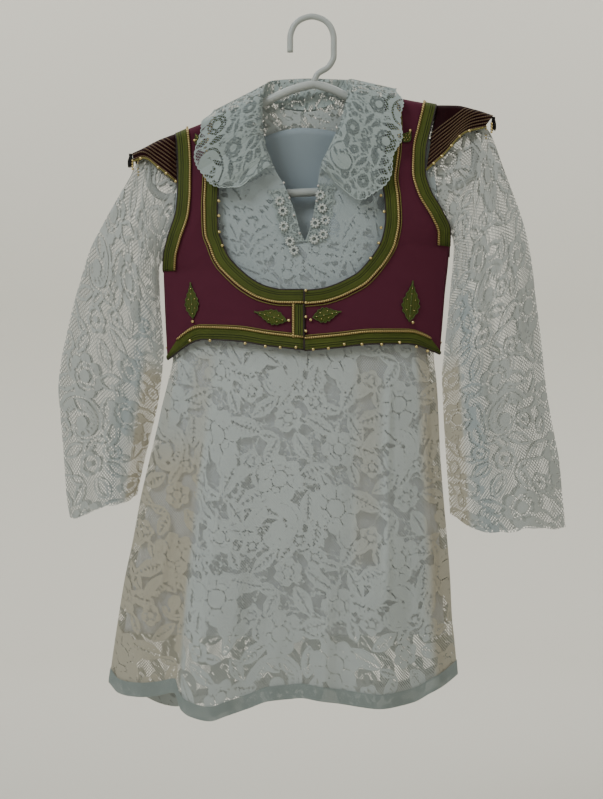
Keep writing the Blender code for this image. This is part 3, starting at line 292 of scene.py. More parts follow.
# Places on the picture in pixels, and how they turn into millimetres
PICTURE_MIDDLE = 312.0
PICTURE_ORIGIN = 19.4
PIXEL = 1.1
SLIT_RINGS = [(283, 213), (290, 243), (280, 203), (284, 228), (294, 252), (322, 210), (315, 225),
              (314, 241), (325, 222), (320, 197), (323, 236)]
SLIT_PEARLS = [(284, 185), (289.5, 200), (294, 217), (299.5, 235), (318, 188), (316.5, 203), (313, 221)]
WING_BEADS = [(140.8, 156), (158.2, 168.2), (166.8, 176.8), (177, 182.4), (471.2, 122),
              (461.5, 135.4), (451.8, 145.4), (440.9, 157.5), (432.4, 168.5)]
VEST_BEADS = [(305.8, 292), (305.8, 304), (305.8, 318), (305.8, 332), (219.9, 203.5), (219.9, 218),
              (220.4, 234), (223.3, 247.5), (379.9, 198), (383, 214), (380, 230), (377.7, 245),
              (369.7, 260), (191, 341), (211, 341), (246, 344), (266, 347), (280.5, 348), (296, 348),
              (313, 350), (328, 349), (343.5, 345), (361, 345), (380.5, 345), (398.6, 343),
              (415.4, 347), (427, 351), (193.6, 322), (289, 321.5), (411.8, 323), (310.5, 321),
              (195.4, 142), (409.4, 132.5)]
HEM_BEADS = 340            # the beads below this row are on the hem, and the back has them too
BEAD_LIFT = 1.4
BEAD_STEP = 3.1
BEAD_STRINGS = [(-9.0, -6.0, 6), (-3.0, -8.0, 4)]      # out from the tassel, y, how many

# The lace's repeat, in millimetres on the flat cloth
REPEAT_WIDTH = 132.0
REPEAT_HEIGHT = 168.0
ROSES = [
    # across, down, radius, petals, turn
    (26, 30, 28, 7, 0.2), (97, 84, 25, 7, 0.7), (30, 134, 19, 6, 0.1), (106, 18, 15, 6, 0.4),
    (64, 58, 12, 5, 0.0), (4, 86, 12, 5, 0.5), (66, 150, 12, 5, 0.9), (118, 152, 11, 5, 0.3)]
FOLIAGE = [
    # across, down, turn in degrees, length, width
    (58, 20, 25, 40, 19), (4, 60, 100, 34, 17), (68, 98, 160, 38, 18), (122, 50, 60, 34, 17),
    (56, 132, 15, 32, 17), (48, 110, 60, 30, 15), (8, 110, 30, 34, 15), (88, 50, 120, 28, 15),
    (80, 2, 150, 32, 15), (128, 116, 95, 36, 16), (2, 160, 160, 34, 15), (40, 76, 115, 34, 15),
    (88, 118, 40, 24, 12), (72, 78, 80, 20, 11), (20, 92, 10, 20, 11), (46, 160, 70, 24, 12),
    (128, 84, 20, 22, 11), (84, 34, 20, 20, 10), (104, 164, 130, 24, 12), (14, 4, 60, 22, 11)]
SCROLLS = [
    # across, down, radius, first angle, turn in degrees, width of the band
    (94, 138, 33, 200, 330, 11), (44, 56, 21, 20, 300, 7)]
LADDER_STEP = 3.6
CHART_LIMIT = 6.0
NET_SLANT = 0.8
BODY_SPREAD = 0.9
COLLAR_SPREAD = 1.1
SHEER_FADE = 30.0
RIBBON_LINES = (4.6, 1.1)  # both lines lie 1.1 mm from the ribbon's middle, at 4.6 mm
WELD = 0.02
SHADE_BLUE = np.array([0.94, 1.03, 1.05])    # painted shade: the bluish tint of white lace in the shade
PALE = np.array([0.97, 1.0, 1.03])     # the dress's own
WARM_LACE = (0.42, 0.36, 0.25)         # lace with warm light behind it
COOL_LACE = (0.31, 0.37, 0.385)        # lace in the shade

# Room, lights and camera, in metres
ROOM_FLOOR = 2.5
ROOM_BEND = 0.9
ROOM_TOP = 3.0
ROOM_SIDES = 72
ROOM_COLOUR = (0.56, 0.55, 0.505)
LIGHTS = [
    # name, place, aim, size, power, colour
    ("key", (-1.5, -1.8, 1.5), (0.0, 0.0, -0.35), 1.1, 44.0, (0.90, 0.96, 1.0)),
    ("fill", (1.8, -1.5, 1.2), (0.0, 0.0, -0.4), 1.4, 8.0, (1.0, 0.98, 0.94)),
    ("wall light left", (-1.3, 1.5, 1.9), (-0.5, 3.3, -0.6), 1.0, 52.0, (1.0, 0.97, 0.90)),
    ("wall light right", (1.3, 1.5, 1.9), (0.5, 3.3, -0.6), 1.0, 52.0, (1.0, 0.97, 0.90))]
CAMERA_LENS = 81.9
CAMERA_PLACE = (-0.0115, -2.0, -0.418)


def curve(rows, columns=1):
    """A reader for a table: the values at a key, smooth, and never beyond its rows."""
    rows = sorted(rows, key=lambda row: row[0])
    keys = np.array([row[0] for row in rows], dtype=float)
    values = np.array([row[columns] for row in rows], dtype=float)
    slopes = (np.diff(values, axis=0).T / np.diff(keys)).T
    tangents = np.empty_like(values)
    tangents[0], tangents[-1] = slopes[0], slopes[-1]
    product = slopes[:-1] * slopes[1:]
    total = slopes[:-1] + slopes[1:]
    tangents[1:-1] = np.where(product > 0.0, 2.0 * product / np.where(total == 0.0, 1.0, total), 0.0)

    def read(key):
        key = np.clip(np.asarray(key, dtype=float), keys[0], keys[-1])
        place = np.clip(np.searchsorted(keys, key, side="right") - 1, 0, len(keys) - 2)
        width = keys[place + 1] - keys[place]
        share = (key - keys[place]) / width
        if values.ndim > 1:
            share, width = share[..., None], width[..., None]
        low, high = values[place], values[place + 1]
        start, end = tangents[place] * width, tangents[place + 1] * width
        cubic = 2 * low - 2 * high + start + end
        square = 3 * (high - low) - 2 * start - end
        return ((cubic * share + square) * share + start) * share + low

    return read


def running(points, axis=0):
    """The length run along a line, or along each line of a grid, from 0."""
    steps = np.linalg.norm(np.diff(points, axis=axis), axis=-1)
    return np.concatenate([np.zeros_like(steps.take([0], axis)), np.cumsum(steps, axis)], axis)


def keyed(keys, points):
    """A smooth reader for points at their keys."""
    return curve([(key, *point) for key, point in zip(keys, points)], slice(1, None))


def route(points):
    """A reader for the point at a share of the length of a smooth line."""
    points = np.array(points, dtype=float)
    reach = running(points)
    return keyed(reach / reach[-1], points)


def smooth(value):
    value = np.clip(value, 0.0, 1.0)
    return value * value * (3.0 - 2.0 * value)


def quarter(value):
    value = np.clip(value, 0.0, 1.0)
    return np.sqrt(1.0 - (1.0 - value) ** 2)


def mix(low, high, share):
    return low + (high - low) * share


side_x = {name: curve(table) for name, table in DRESS_SIDE.items()}
shoulder = curve(SHOULDER_LINE)
vest_rise = curve(VEST_RISE)
depth_at = {-1: curve(DEPTH, 1), 1: curve(DEPTH, 2)}
hem_front = curve(HEM_FRONT)
neck_back = curve(NECK_BACK)
sleeve_full = curve(SLEEVE_DEPTH)
vest_back_neck = curve(VEST_BACK_NECK)
vest_back_hem = curve(VEST_BACK_HEM)
vest_edge = {name: curve([(row[3], row[2]) for row in rows[:SIDE_END + 1]])
             for name, rows in VEST_FRONTS.items()}


def armhole_depth(z, top, under, depth):
    share = np.clip((top - z) / (top - under), 0.0, 1.0)
    return SEAM + depth * np.sin(math.pi * share) ** 0.7


def fold_height(folds, share, z):
    height = np.zeros_like(share)
    for top, hem, start, rise, width in folds:
        ease = smooth((start - z) / (start - HEM_FRONT[0][1]))
        middle = mix(top, hem, ease)
        height = height + rise * ease * np.exp(-((share - middle) / width) ** 2)
    return height * smooth(np.minimum(share, 1.0 - share) / 0.05)


def step_ease(z):
    return smooth((STEP_FOLD["start"] - z) / (STEP_FOLD["start"] - HEM_FRONT[0][1]))


def step_height(share, z):
    ease = step_ease(z)
    beyond = share - mix(STEP_FOLD["top"], STEP_FOLD["hem"], ease)
    rise = 1.0 / (1.0 + np.exp(-beyond / STEP_FOLD["rise"]))
    return STEP_FOLD["height"] * ease * rise * np.exp(-np.maximum(beyond, 0.0) / STEP_FOLD["fade"])


def share_across(edges, x, z):
    """Where x lies between the left and the right edge, from 0 to 1."""
    low, high = edges["left"](z), edges["right"](z)
    return np.clip((x - low) / (high - low), 0.0, 1.0)


def swelled(share, z, side, tops, unders, armhole, fullness, spare=0.0):
    """Depth of a body that swells between its side edges; side is -1 in front, 1 behind."""
    edge = mix(armhole_depth(z, tops["left"], unders["left"], armhole),
               armhole_depth(z, tops["right"], unders["right"], armhole), share)
    swell = 1.0 - np.abs(2.0 * share - 1.0) ** fullness
    return edge + (depth_at[side](z) + spare - edge) * swell


def over_shoulder(depth, drop, top, rounding):
    """The depth, eased into a rounded shoulder over its first drop."""
    rounded = SEAM + top * quarter(drop / rounding)
    return rounded + (depth - SEAM - top) * smooth(drop / SHOULDER_FALL)


def dress_depth(x, z, side, folds=True):
    """Distance of the dress's wall from the middle plane."""
    x, z = np.asarray(x, dtype=float), np.asarray(z, dtype=float)
    share = share_across(side_x, x, z)
    depth = swelled(share, z, side, ARMHOLE_TOP, UNDERARM, ARMHOLE_DEPTH, BODY_FULLNESS)
    if folds:
        depth = depth + fold_height(FOLDS_FRONT if side < 0 else FOLDS_BACK, share, z)
    if folds and side < 0:
        depth = depth + step_height(share, z)
    return over_shoulder(depth, shoulder(x) - z, NECK_TOP, SHOULDER_ROUND)


def vest_line(x):
    return shoulder(x) + vest_rise(x)


def vest_depth(x, z, side):
    x, z = np.asarray(x, dtype=float), np.asarray(z, dtype=float)
    depth = swelled(share_across(vest_edge, x, z), z, side, VEST_ARMHOLE_TOP, VEST_UNDERARM, VEST_ARMHOLE,
                    VEST_FULLNESS, VEST_SPARE)
    return over_shoulder(depth, vest_line(x) - z, VEST_ROUND, VEST_SHOULDER_ROUND)


def finer(grid, down, across):
    """The grid with more rows and columns between its own, along smooth lines."""
    grid = np.array(grid, dtype=float)
    for axis, times in ((0, down), (1, across)):
        lines = np.swapaxes(grid, 0, axis)
        count = lines.shape[0]
        read = keyed(range(count), lines.reshape(count, -1))
        lines = read(np.linspace(0, count - 1, (count - 1) * times + 1)).reshape(-1, *lines.shape[1:])
        grid = np.swapaxes(lines, 0, axis)
    return grid


def normals(points):
    """Unit normals of a grid of points, all towards +Y."""
    found = np.cross(np.gradient(points, axis=0), np.gradient(points, axis=1))
    found /= np.maximum(np.linalg.norm(found, axis=2, keepdims=True), 1e-9)
    return found * np.sign(found[:, :, 1:2])


def lifted(grid, lift):
    """A grid moved out by lift, square to itself."""
    grid = np.array(grid, dtype=float)
    return grid + normals(grid) * lift


def flat_places(grid, middle=None):
    """Where each point of a grid lies on the flat cloth: across and down, in millimetres."""
    middle = grid.shape[1] // 2 if middle is None else middle
    across = running(grid, 1)
    across += grid[:, middle, 0][:, None] - across[:, middle][:, None]
    down = running(grid[:, middle]) - grid[0, middle, 2]
    return flat_cut(across, down[:, None])


def flat_cut(across, down):
    """Places on the flat cloth as one grid of points."""
    across, down = np.broadcast_arrays(across, down)
    return np.stack([across, down, np.zeros(across.shape)], axis=2)


def wrapped(value, period):
    return (value + period / 2.0) % period - period / 2.0


def petals(across, down, radius, count, turn):
    """A rose: how far inside its cloth each point lies, and how far from its thin gaps."""
    reach = np.hypot(across, down)
    angle = np.arctan2(down, across) + turn
    lobe = np.abs(np.cos(angle * count / 2.0))
    inside = radius * (0.74 + 0.26 * lobe) - reach
    split = np.abs(np.sin(angle * count / 2.0 + math.pi / 2.0)) * reach * 2.0 / count
    gap = np.where(reach > 0.36 * radius, split, 9.0)
    gap = np.minimum(gap, np.abs(reach - 0.36 * radius))
    inner = 0.62 * radius * (0.8 + 0.2 * lobe)
    gap = np.minimum(gap, np.where(lobe > 0.5, np.abs(reach - inner) + 0.25, 9.0))
    return inside, gap


def leaf(across, down, turn, length, width):
    angle = math.radians(turn)
    along = across * math.cos(angle) + down * math.sin(angle)
    off = -across * math.sin(angle) + down * math.cos(angle)
    share = np.clip(along / length + 0.5, 0.0, 1.0)
    inside = 0.5 * width * np.sin(math.pi * share) ** 0.75 - np.abs(off)
    inside = np.where(np.abs(along) > length / 2.0, -np.abs(along) + length / 2.0, inside)
    ribs = np.abs(wrapped(along - np.abs(off) * 0.8, 5.2)) * 0.75 + 0.2
    gap = np.minimum(np.abs(off), np.where(inside > 1.4, ribs, 9.0))
    return inside, gap


def scroll(across, down, radius, start, turn, width):
    """A scroll that winds in, with a ladder of bars and a rim along its inner side."""
    reach = np.hypot(across, down)
    angle = (np.degrees(np.arctan2(down, across)) - start) % 360.0
    share = np.clip(angle / turn, 0.0, 1.0)
    line = radius * (1.0 - 0.62 * share)
    half = 0.5 * width * (1.0 - 0.55 * share)
    band = half - np.abs(reach - line)
    inner = line - half
    bars = (np.abs(np.sin(np.radians(angle) * line * math.pi / LADDER_STEP)) - 0.62) * 2.4
    rung = np.minimum(bars, np.minimum(reach - inner + 5.5, inner - reach + 0.4))
    rim = 0.9 - np.abs(reach - inner + 6.0)
    inside = np.maximum(band, np.where(line > 0.45 * radius, np.maximum(rung, rim), -9.0))
    inside = np.where(angle > turn, -9.0, inside)
    ball = 0.24 * radius - np.hypot(across, down)
    return np.maximum(inside, ball), np.where(np.abs(reach - line) < half, np.abs(reach - line) + 0.2, 9.0)


def lace_chart(places, size=1.0, leaves=None):
    """The lace's flowers at each flat place: inside its cloth, and away from its thin gaps.

    A lighter lace takes only the first leaves of the chart.
    """
    across, down = places[..., 0] / size, places[..., 1] / size
    cloth = np.full(across.shape, -9.0)
    gap = np.full(across.shape, 9.0)
    motifs = [(petals, row) for row in ROSES] + [(leaf, row) for row in FOLIAGE[:leaves]]
    motifs += [(scroll, row) for row in SCROLLS]
    for column in (0, 1):
        for shape, (x, y, *sizes) in motifs:
            right = wrapped(across - x - column * REPEAT_WIDTH, 2.0 * REPEAT_WIDTH)
            low = wrapped(down - y - column * REPEAT_HEIGHT / 2.0, REPEAT_HEIGHT)
            inside, thin = shape(right, low, *sizes)
            gap = np.where(inside > cloth, np.where(inside > 0.0, thin, gap), gap)
            cloth = np.maximum(cloth, inside)
    return np.clip(cloth * size, -6.0, 6.0), np.clip(gap * size, 0.0, 6.0)


def face_out(mesh, weld=False):
    """Turns the faces outwards, with the points welded first where grids meet."""
    shape = bmesh.new()
    shape.from_mesh(mesh)
    if weld:
        bmesh.ops.remove_doubles(shape, verts=shape.verts, dist=WELD * MM)
    bmesh.ops.recalc_face_normals(shape, faces=shape.faces)
    shape.to_mesh(mesh)
    shape.free()


def build_mesh(name, grids, layers):
    """A mesh of grids of quads, welded where they meet; layers are values at the points."""
    points, faces = [], []
    count = 0
    for grid in grids:
        rows, columns = grid.shape[:2]
        numbers = np.arange(rows * columns).reshape(rows, columns) + count
        quads = np.stack([numbers[:-1, :-1], numbers[:-1, 1:], numbers[1:, 1:], numbers[1:, :-1]], axis=2)
        faces.append(quads.reshape(-1, 4))
        points.append(grid.reshape(-1, 3))
        count += rows * columns
    mesh = bpy.data.meshes.new(name)
    mesh.from_pydata((np.concatenate(points) * MM).tolist(), [], np.concatenate(faces).tolist())
    for key, values in layers.items():
        values = np.concatenate([np.ravel(value) for value in values]).astype(np.float32)
        kind, field = ("FLOAT_VECTOR", "vector") if key == "cut" else ("FLOAT", "value")
        mesh.attributes.new(key, kind, "POINT").data.foreach_set(field, values)
    if len(grids) > 1:
        face_out(mesh, weld=True)
    return mesh


def place(name, mesh, material, slot, replaces=()):
    """An object for a finished mesh, riding on the part's one body."""
    mesh.materials.clear()
    mesh.materials.append(material)
    mesh.polygons.foreach_set("material_index", np.zeros(len(mesh.polygons), dtype=np.int32))
    mesh.shade_smooth()
    piece = bpy.data.objects.new(name, mesh)
    bpy.context.scene.collection.objects.link(piece)
    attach(piece, "root")
    if replaces:
        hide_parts(*replaces)
    return piece


def applied(piece, name):
    """The piece's mesh with its modifiers applied; the carrier is removed."""
    graph = bpy.context.evaluated_depsgraph_get()
    mesh = bpy.data.meshes.new_from_object(piece.evaluated_get(graph))
    bpy.data.objects.remove(piece, do_unlink=True)
    mesh.name = name
    return mesh


def walled(mesh, wall):
    """The mesh as a closed wall of even thickness."""
    carrier = bpy.data.objects.new("wall", mesh)
    bpy.context.scene.collection.objects.link(carrier)
    shell = carrier.modifiers.new("wall", "SOLIDIFY")
    shell.thickness = wall * MM
    shell.offset = 0.0
    return applied(carrier, mesh.name)


def flat_size(grids):
    """Width, length and area of the cloth before it was sewn, from the sheet's middle."""
    area, width, length = 0.0, 0.0, 0.0
    for grid in grids:
        first = np.cross(grid[1:, 1:] - grid[:-1, :-1], grid[1:, :-1] - grid[:-1, 1:])
        area += 0.5 * np.linalg.norm(first, axis=2).sum()
        width = max(width, np.linalg.norm(np.diff(grid, axis=1), axis=2).sum(axis=1).max())
        length = max(length, np.linalg.norm(np.diff(grid, axis=0), axis=2).sum(axis=0).max())
    return width, length, area


def cloth(node, grid, material, slot, ending="cloth", wall=SATIN_WALL, cut=None, **layers):
    """One cloth piece in place of its node."""
    layers = {"cut": flat_places(grid) if cut is None else cut, **layers}
    name = f"{node}_{ending}"
    mesh = build_mesh(name, [grid], {key: [values] for key, values in layers.items()})
    piece = place(name, walled(mesh, wall), material, slot, [node])
    width, length, area = flat_size([grid])


def lace_layers(grids, middles, size=1.0, leaves=None, spread=0.0, tone=None):
    """The lace's chart for the points of each grid; with size 0 it is plain net.

    Spread widens the close stitches above the lining's hem, less under painted warm light and more under
    painted shade. Tone reads a grid and gives 1 where warm light is painted and -1 where cool shade is
    painted.
    """
    layers = {"cut": [], "lace_cloth": [], "lace_gap": [], "warm": []}
    for grid, middle in zip(grids, middles):
        places = flat_places(grid, middle)
        if size > 0.0:
            inside, gap = lace_chart(places, size, leaves)
        else:
            inside, gap = np.full(grid.shape[:2], -CHART_LIMIT), np.full(grid.shape[:2], CHART_LIMIT)
        shade = tone(grid) if tone else np.zeros(grid.shape[:2])
        lined = smooth((grid[..., 2] - LINING_HEM) / SHEER_FADE + 0.5)
        values = (places, inside + spread * lined * (1.0 - shade), gap, shade)
        for layer, value in zip(layers.values(), values):
            layer.append(value)
    return layers


def tube_mesh(lines, radii, sides=8, closed=False):
    """Round cords along lines of points, as one closed mesh, with their length as an attribute."""
    points, faces, cuts = [], [], []
    for line, radius in zip(lines, radii):
        line = np.array(line, dtype=float)
        count = len(line)
        if closed:
            tangent = np.roll(line, -1, axis=0) - np.roll(line, 1, axis=0)
        else:
            tangent = np.gradient(line, axis=0)
        tangent /= np.maximum(np.linalg.norm(tangent, axis=1, keepdims=True), 1e-9)
        up = np.cross(tangent, np.array([0.0, 1.0, 0.0]))
        up /= np.maximum(np.linalg.norm(up, axis=1, keepdims=True), 1e-9)
        out = np.cross(tangent, up)
        reach = running(line)
        first = len(points)
        for k in range(count):
            for side in range(sides):
                angle = 2.0 * math.pi * side / sides
                points.append(line[k] + radius * (up[k] * math.cos(angle) + out[k] * math.sin(angle)))
                cuts.append((reach[k], side / sides, 0.0))
        for k in range(count if closed else count - 1):
            for side in range(sides):
                low, high = first + k * sides, first + (k + 1) % count * sides
                after = (side + 1) % sides
                faces.append((low + side, low + after, high + after, high + side))
        if not closed:
            faces.append(tuple(first + side for side in range(sides))[::-1])
            faces.append(tuple(first + (count - 1) * sides + side for side in range(sides)))
    mesh = bpy.data.meshes.new("cord")
    mesh.from_pydata((np.array(points) * MM).tolist(), [], faces)
    mesh.attributes.new("cut", "FLOAT_VECTOR", "POINT").data.foreach_set(
        "vector", np.array(cuts, dtype=np.float32).ravel())
    face_out(mesh)
    return mesh


def add_cords(name, lines, radius, material, slot):
    return place(name, tube_mesh(lines, [radius] * len(lines)), material, slot)


# Shader parts that several materials share


def add_node(tree, kind, inputs=None, **settings):
    """A node with its settings, its inputs set to values or linked to sockets."""
    made = tree.nodes.new(kind)
    for key, value in settings.items():
        setattr(made, key, value)
    for key, value in (inputs or {}).items():
        if isinstance(value, bpy.types.NodeSocket):
            tree.links.new(value, made.inputs[key])
        else:
            made.inputs[key].default_value = value
    return made


def calc(tree, operation, *values):
    """The result socket of one sum, its terms sockets or numbers."""
    return add_node(tree, "ShaderNodeMath", dict(enumerate(values)), operation=operation).outputs[0]


def ramp(tree, value, low, high):
    """0 below low and 1 above high, softly; it falls if high is the smaller one."""
    made = add_node(tree, "ShaderNodeMapRange", {0: value, 1: low, 2: high, 3: 0.0, 4: 1.0})
    made.interpolation_type = "SMOOTHSTEP"
    return made.outputs[0]


def new_group(name, inputs, outputs):
    """A shader group that reads the flat cloth's places, or an object's, and some numbers."""
    tree = bpy.data.node_groups.new(name, "ShaderNodeTree")
    tree.interface.new_socket("Place", in_out="INPUT", socket_type="NodeSocketVector")
    for label, value in inputs.items():
        socket = tree.interface.new_socket(label, in_out="INPUT", socket_type="NodeSocketFloat")
        socket.default_value = value
    for label in outputs:
        tree.interface.new_socket(label, in_out="OUTPUT", socket_type="NodeSocketFloat")
    return tree, tree.nodes.new("NodeGroupInput").outputs, tree.nodes.new("NodeGroupOutput").inputs


def sums(tree, *operations):
    """One short maker of sums for each operation."""
    return [functools.partial(calc, tree, operation) for operation in operations]


def split_place(tree, place_at):
    return add_node(tree, "ShaderNodeSeparateXYZ", {0: place_at}).outputs[:2]


def lace_group(name):
    """Lace from its chart: flowers of close stitches with thin gaps, on a diamond net."""
    tree, given, result = new_group(
        name, {"Cloth": 0.0, "Gap": 5.0, "Pitch": 3.0, "Thread": 0.6, "Gap Width": 0.8},
        ("Mask", "Flower", "Height"))
    add, less, times, most, fold = sums(tree, "ADD", "SUBTRACT", "MULTIPLY", "MAXIMUM", "PINGPONG")
    across, down = split_place(tree, given["Place"])
    thread, wide = given["Thread"], times(given["Thread"], 0.5)
    half, slant = times(given["Pitch"], 0.5), times(down, NET_SLANT)
    first, second = fold(add(across, slant), half), fold(less(across, slant), half)
    near = calc(tree, "MINIMUM", first, second)
    net = most(ramp(tree, near, add(wide, 0.12), wide),
               ramp(tree, add(first, second), times(thread, 1.5), thread))
    closed = ramp(tree, given["Gap"], times(given["Gap Width"], 0.8), given["Gap Width"])
    flower = times(ramp(tree, given["Cloth"], -0.1, 0.35), closed)
    rim = ramp(tree, calc(tree, "ABSOLUTE", less(given["Cloth"], 0.5)), 0.9, 0.3)
    stitch = calc(tree, "SINE", times(add(across, down), 7.5))
    height = add(times(flower, 0.7), times(rim, 0.5))
    height = add(height, times(times(stitch, flower), 0.12))
    tree.links.new(most(most(flower, rim), net), result["Mask"])
    tree.links.new(most(flower, times(rim, 0.8)), result["Flower"])
    tree.links.new(add(height, times(net, 0.3)), result["Height"])
    return tree


def weave_group(name):
    """A fine weave from the cloth's own flat places: height, and a slight painted shade in its hollows."""
    tree, given, result = new_group(name, {"Across": 3.0, "Along": 3.0}, ("Height", "Shade"))
    across, down = split_place(tree, given["Place"])
    warp = calc(tree, "SINE", calc(tree, "MULTIPLY", across, given["Across"]))
    weft = calc(tree, "SINE", calc(tree, "MULTIPLY", down, given["Along"]))
    both = calc(tree, "MULTIPLY", calc(tree, "ADD", warp, weft), 0.5)
    tree.links.new(both, result["Height"])
    tree.links.new(ramp(tree, both, -1.0, 1.0), result["Shade"])
    return tree


def twist_group(name):
    """Slanting strands of a twisted cord, from its length and its turn, with painted shade in the grooves
    between them.
    """
    tree, given, result = new_group(name, {"Strands": 2.0}, ("Height", "Shade"))
    along, around = split_place(tree, given["Place"])
    turn = calc(tree, "ADD", calc(tree, "MULTIPLY", along, given["Strands"]),
                calc(tree, "MULTIPLY", around, 2.0 * math.pi))
    wave = calc(tree, "SINE", turn)
    tree.links.new(wave, result["Height"])
    tree.links.new(ramp(tree, wave, -0.9, 0.6), result["Shade"])
    return tree


def mottle_group(name):
    """Large, faint patches of a lighter or darker shade."""
    tree, given, result = new_group(name, {"Scale": 14.0, "Detail": 3.0}, ("Shade",))
    noise = add_node(tree, "ShaderNodeTexNoise",
                     {"Vector": given["Place"], "Scale": given["Scale"], "Detail": given["Detail"]})
    tree.links.new(ramp(tree, noise.outputs[0], 0.3, 0.7), result["Shade"])
    return tree


GROUPS = {"Lace Pattern": lace_group, "Fine Weave": weave_group, "Cord Twist": twist_group,
          "Faint Patches": mottle_group}


def use_group(tree, name, inputs):
    """A node of one of the shared groups, made at its first use."""
    shared = bpy.data.node_groups.get(name) or GROUPS[name](name)
    return add_node(tree, "ShaderNodeGroup", inputs, node_tree=shared).outputs


def read_attribute(tree, name, output):
    return add_node(tree, "ShaderNodeAttribute", attribute_name=name).outputs[output]


def blend(tree, share, low, high):
    """A mix of two colours, each a socket or three numbers."""
    low, high = (value if isinstance(value, bpy.types.NodeSocket) else (*value, 1.0)
                 for value in (low, high))
    return add_node(tree, "ShaderNodeMix", {0: share, 6: low, 7: high}, data_type="RGBA").outputs[2]


def start_material(name, roughness, metallic=0.0, specular=0.5):
    material = bpy.data.materials.new(name)
    material.use_nodes = True
    shader = material.node_tree.nodes["Principled BSDF"]
    shader.inputs["Roughness"].default_value = roughness
    shader.inputs["Metallic"].default_value = metallic
    shader.inputs["Specular IOR Level"].default_value = specular
    return material, material.node_tree, shader.inputs


def add_bump(tree, target, height, strength, distance):
    bump = add_node(tree, "ShaderNodeBump",
                    {"Height": height, "Strength": strength, "Distance": distance * MM})
    tree.links.new(bump.outputs["Normal"], target["Normal"])


def patches(tree, scale):
    place_at = add_node(tree, "ShaderNodeTexCoord").outputs["Object"]
    return use_group(tree, "Faint Patches", {"Place": place_at, "Scale": scale})["Shade"]


def weave_shade(tree, place_at, across, along, scale):
    """The weave's height, and its painted shade in the hollows mixed half and half with faint patches."""
    weave = use_group(tree, "Fine Weave", {"Place": place_at, "Across": across, "Along": along})
    both = calc(tree, "ADD", weave["Shade"], patches(tree, scale))
    return weave["Height"], calc(tree, "MULTIPLY", both, 0.5)


def lace_material(name, net, flower, pitch, thread, gap_width):
    """White lace: its net is darker than its flowers, because more shows through it."""
    material, tree, target = start_material(name, 0.9, specular=0.08)
    lace = use_group(tree, "Lace Pattern", {
        "Place": read_attribute(tree, "cut", "Vector"), "Cloth": read_attribute(tree, "lace_cloth", "Fac"),
        "Gap": read_attribute(tree, "lace_gap", "Fac"), "Pitch": pitch, "Thread": thread,
        "Gap Width": gap_width})
    white = blend(tree, patches(tree, 16.0), 0.93 * flower, flower)
    # painted warm light and painted cool shade, from the warm attribute
    tone = read_attribute(tree, "warm", "Fac")
    base = blend(tree, ramp(tree, tone, 0.0, 1.6), blend(tree, lace["Flower"], net, white), WARM_LACE)
    tree.links.new(blend(tree, ramp(tree, tone, 0.0, -1.4), base, COOL_LACE), target["Base Color"])
    tree.links.new(lace["Mask"], target["Alpha"])
    add_bump(tree, target, lace["Height"], 0.38, 0.35)
    return material


def woven_material(name, colour, other, roughness, across, along, height=0.15, specular=0.5, painted_tint=None):
    """Plain woven cloth in two shades, close ones except on the satin, whose lighter one is a painted sheen;
    painted_tint is a third colour of painted light and shade along marked strips.
    """
    material, tree, target = start_material(name, roughness, specular=specular)
    weave, shade = weave_shade(tree, read_attribute(tree, "cut", "Vector"), across, along, 11.0)
    base = blend(tree, shade, colour, other)
    if painted_tint:
        # painted light and shade: the warm attribute lays the painted tint
        base = blend(tree, read_attribute(tree, "warm", "Fac"), base, painted_tint)
    tree.links.new(base, target["Base Color"])
    add_bump(tree, target, weave, 0.5, height)
    return material


def ribbon_material(name, colour, other, line):
    """Ribbed ribbon with two fine darker lines woven along it."""
    material, tree, target = start_material(name, 0.7, specular=0.25)
    cut = read_attribute(tree, "cut", "Vector")
    weave, shade = weave_shade(tree, cut, 2.0, 5.2, 30.0)
    off = split_place(tree, cut)[0]
    for middle in RIBBON_LINES:
        off = calc(tree, "ABSOLUTE", calc(tree, "SUBTRACT", off, middle))
    base = blend(tree, ramp(tree, off, 0.55, 0.25), blend(tree, shade, colour, other), line)
    tree.links.new(base, target["Base Color"])
    add_bump(tree, target, weave, 0.6, 0.3)
    return material


def cord_material(name, colour, dark, roughness, metallic, strands):
    material, tree, target = start_material(name, roughness, metallic)
    cut = read_attribute(tree, "cut", "Vector")
    twist = use_group(tree, "Cord Twist", {"Place": cut, "Strands": strands})
    # the dark colour is painted shade in the grooves between the strands
    tree.links.new(blend(tree, twist["Shade"], dark, colour), target["Base Color"])
    add_bump(tree, target, twist["Height"], 0.6, 0.25)
    return material


def plain_material(name, colour, roughness, metallic=0.0, scale=20.0):
    material, tree, target = start_material(name, roughness, metallic)
    tree.links.new(blend(tree, patches(tree, scale), 0.88 * np.array(colour), colour), target["Base Color"])
    return material


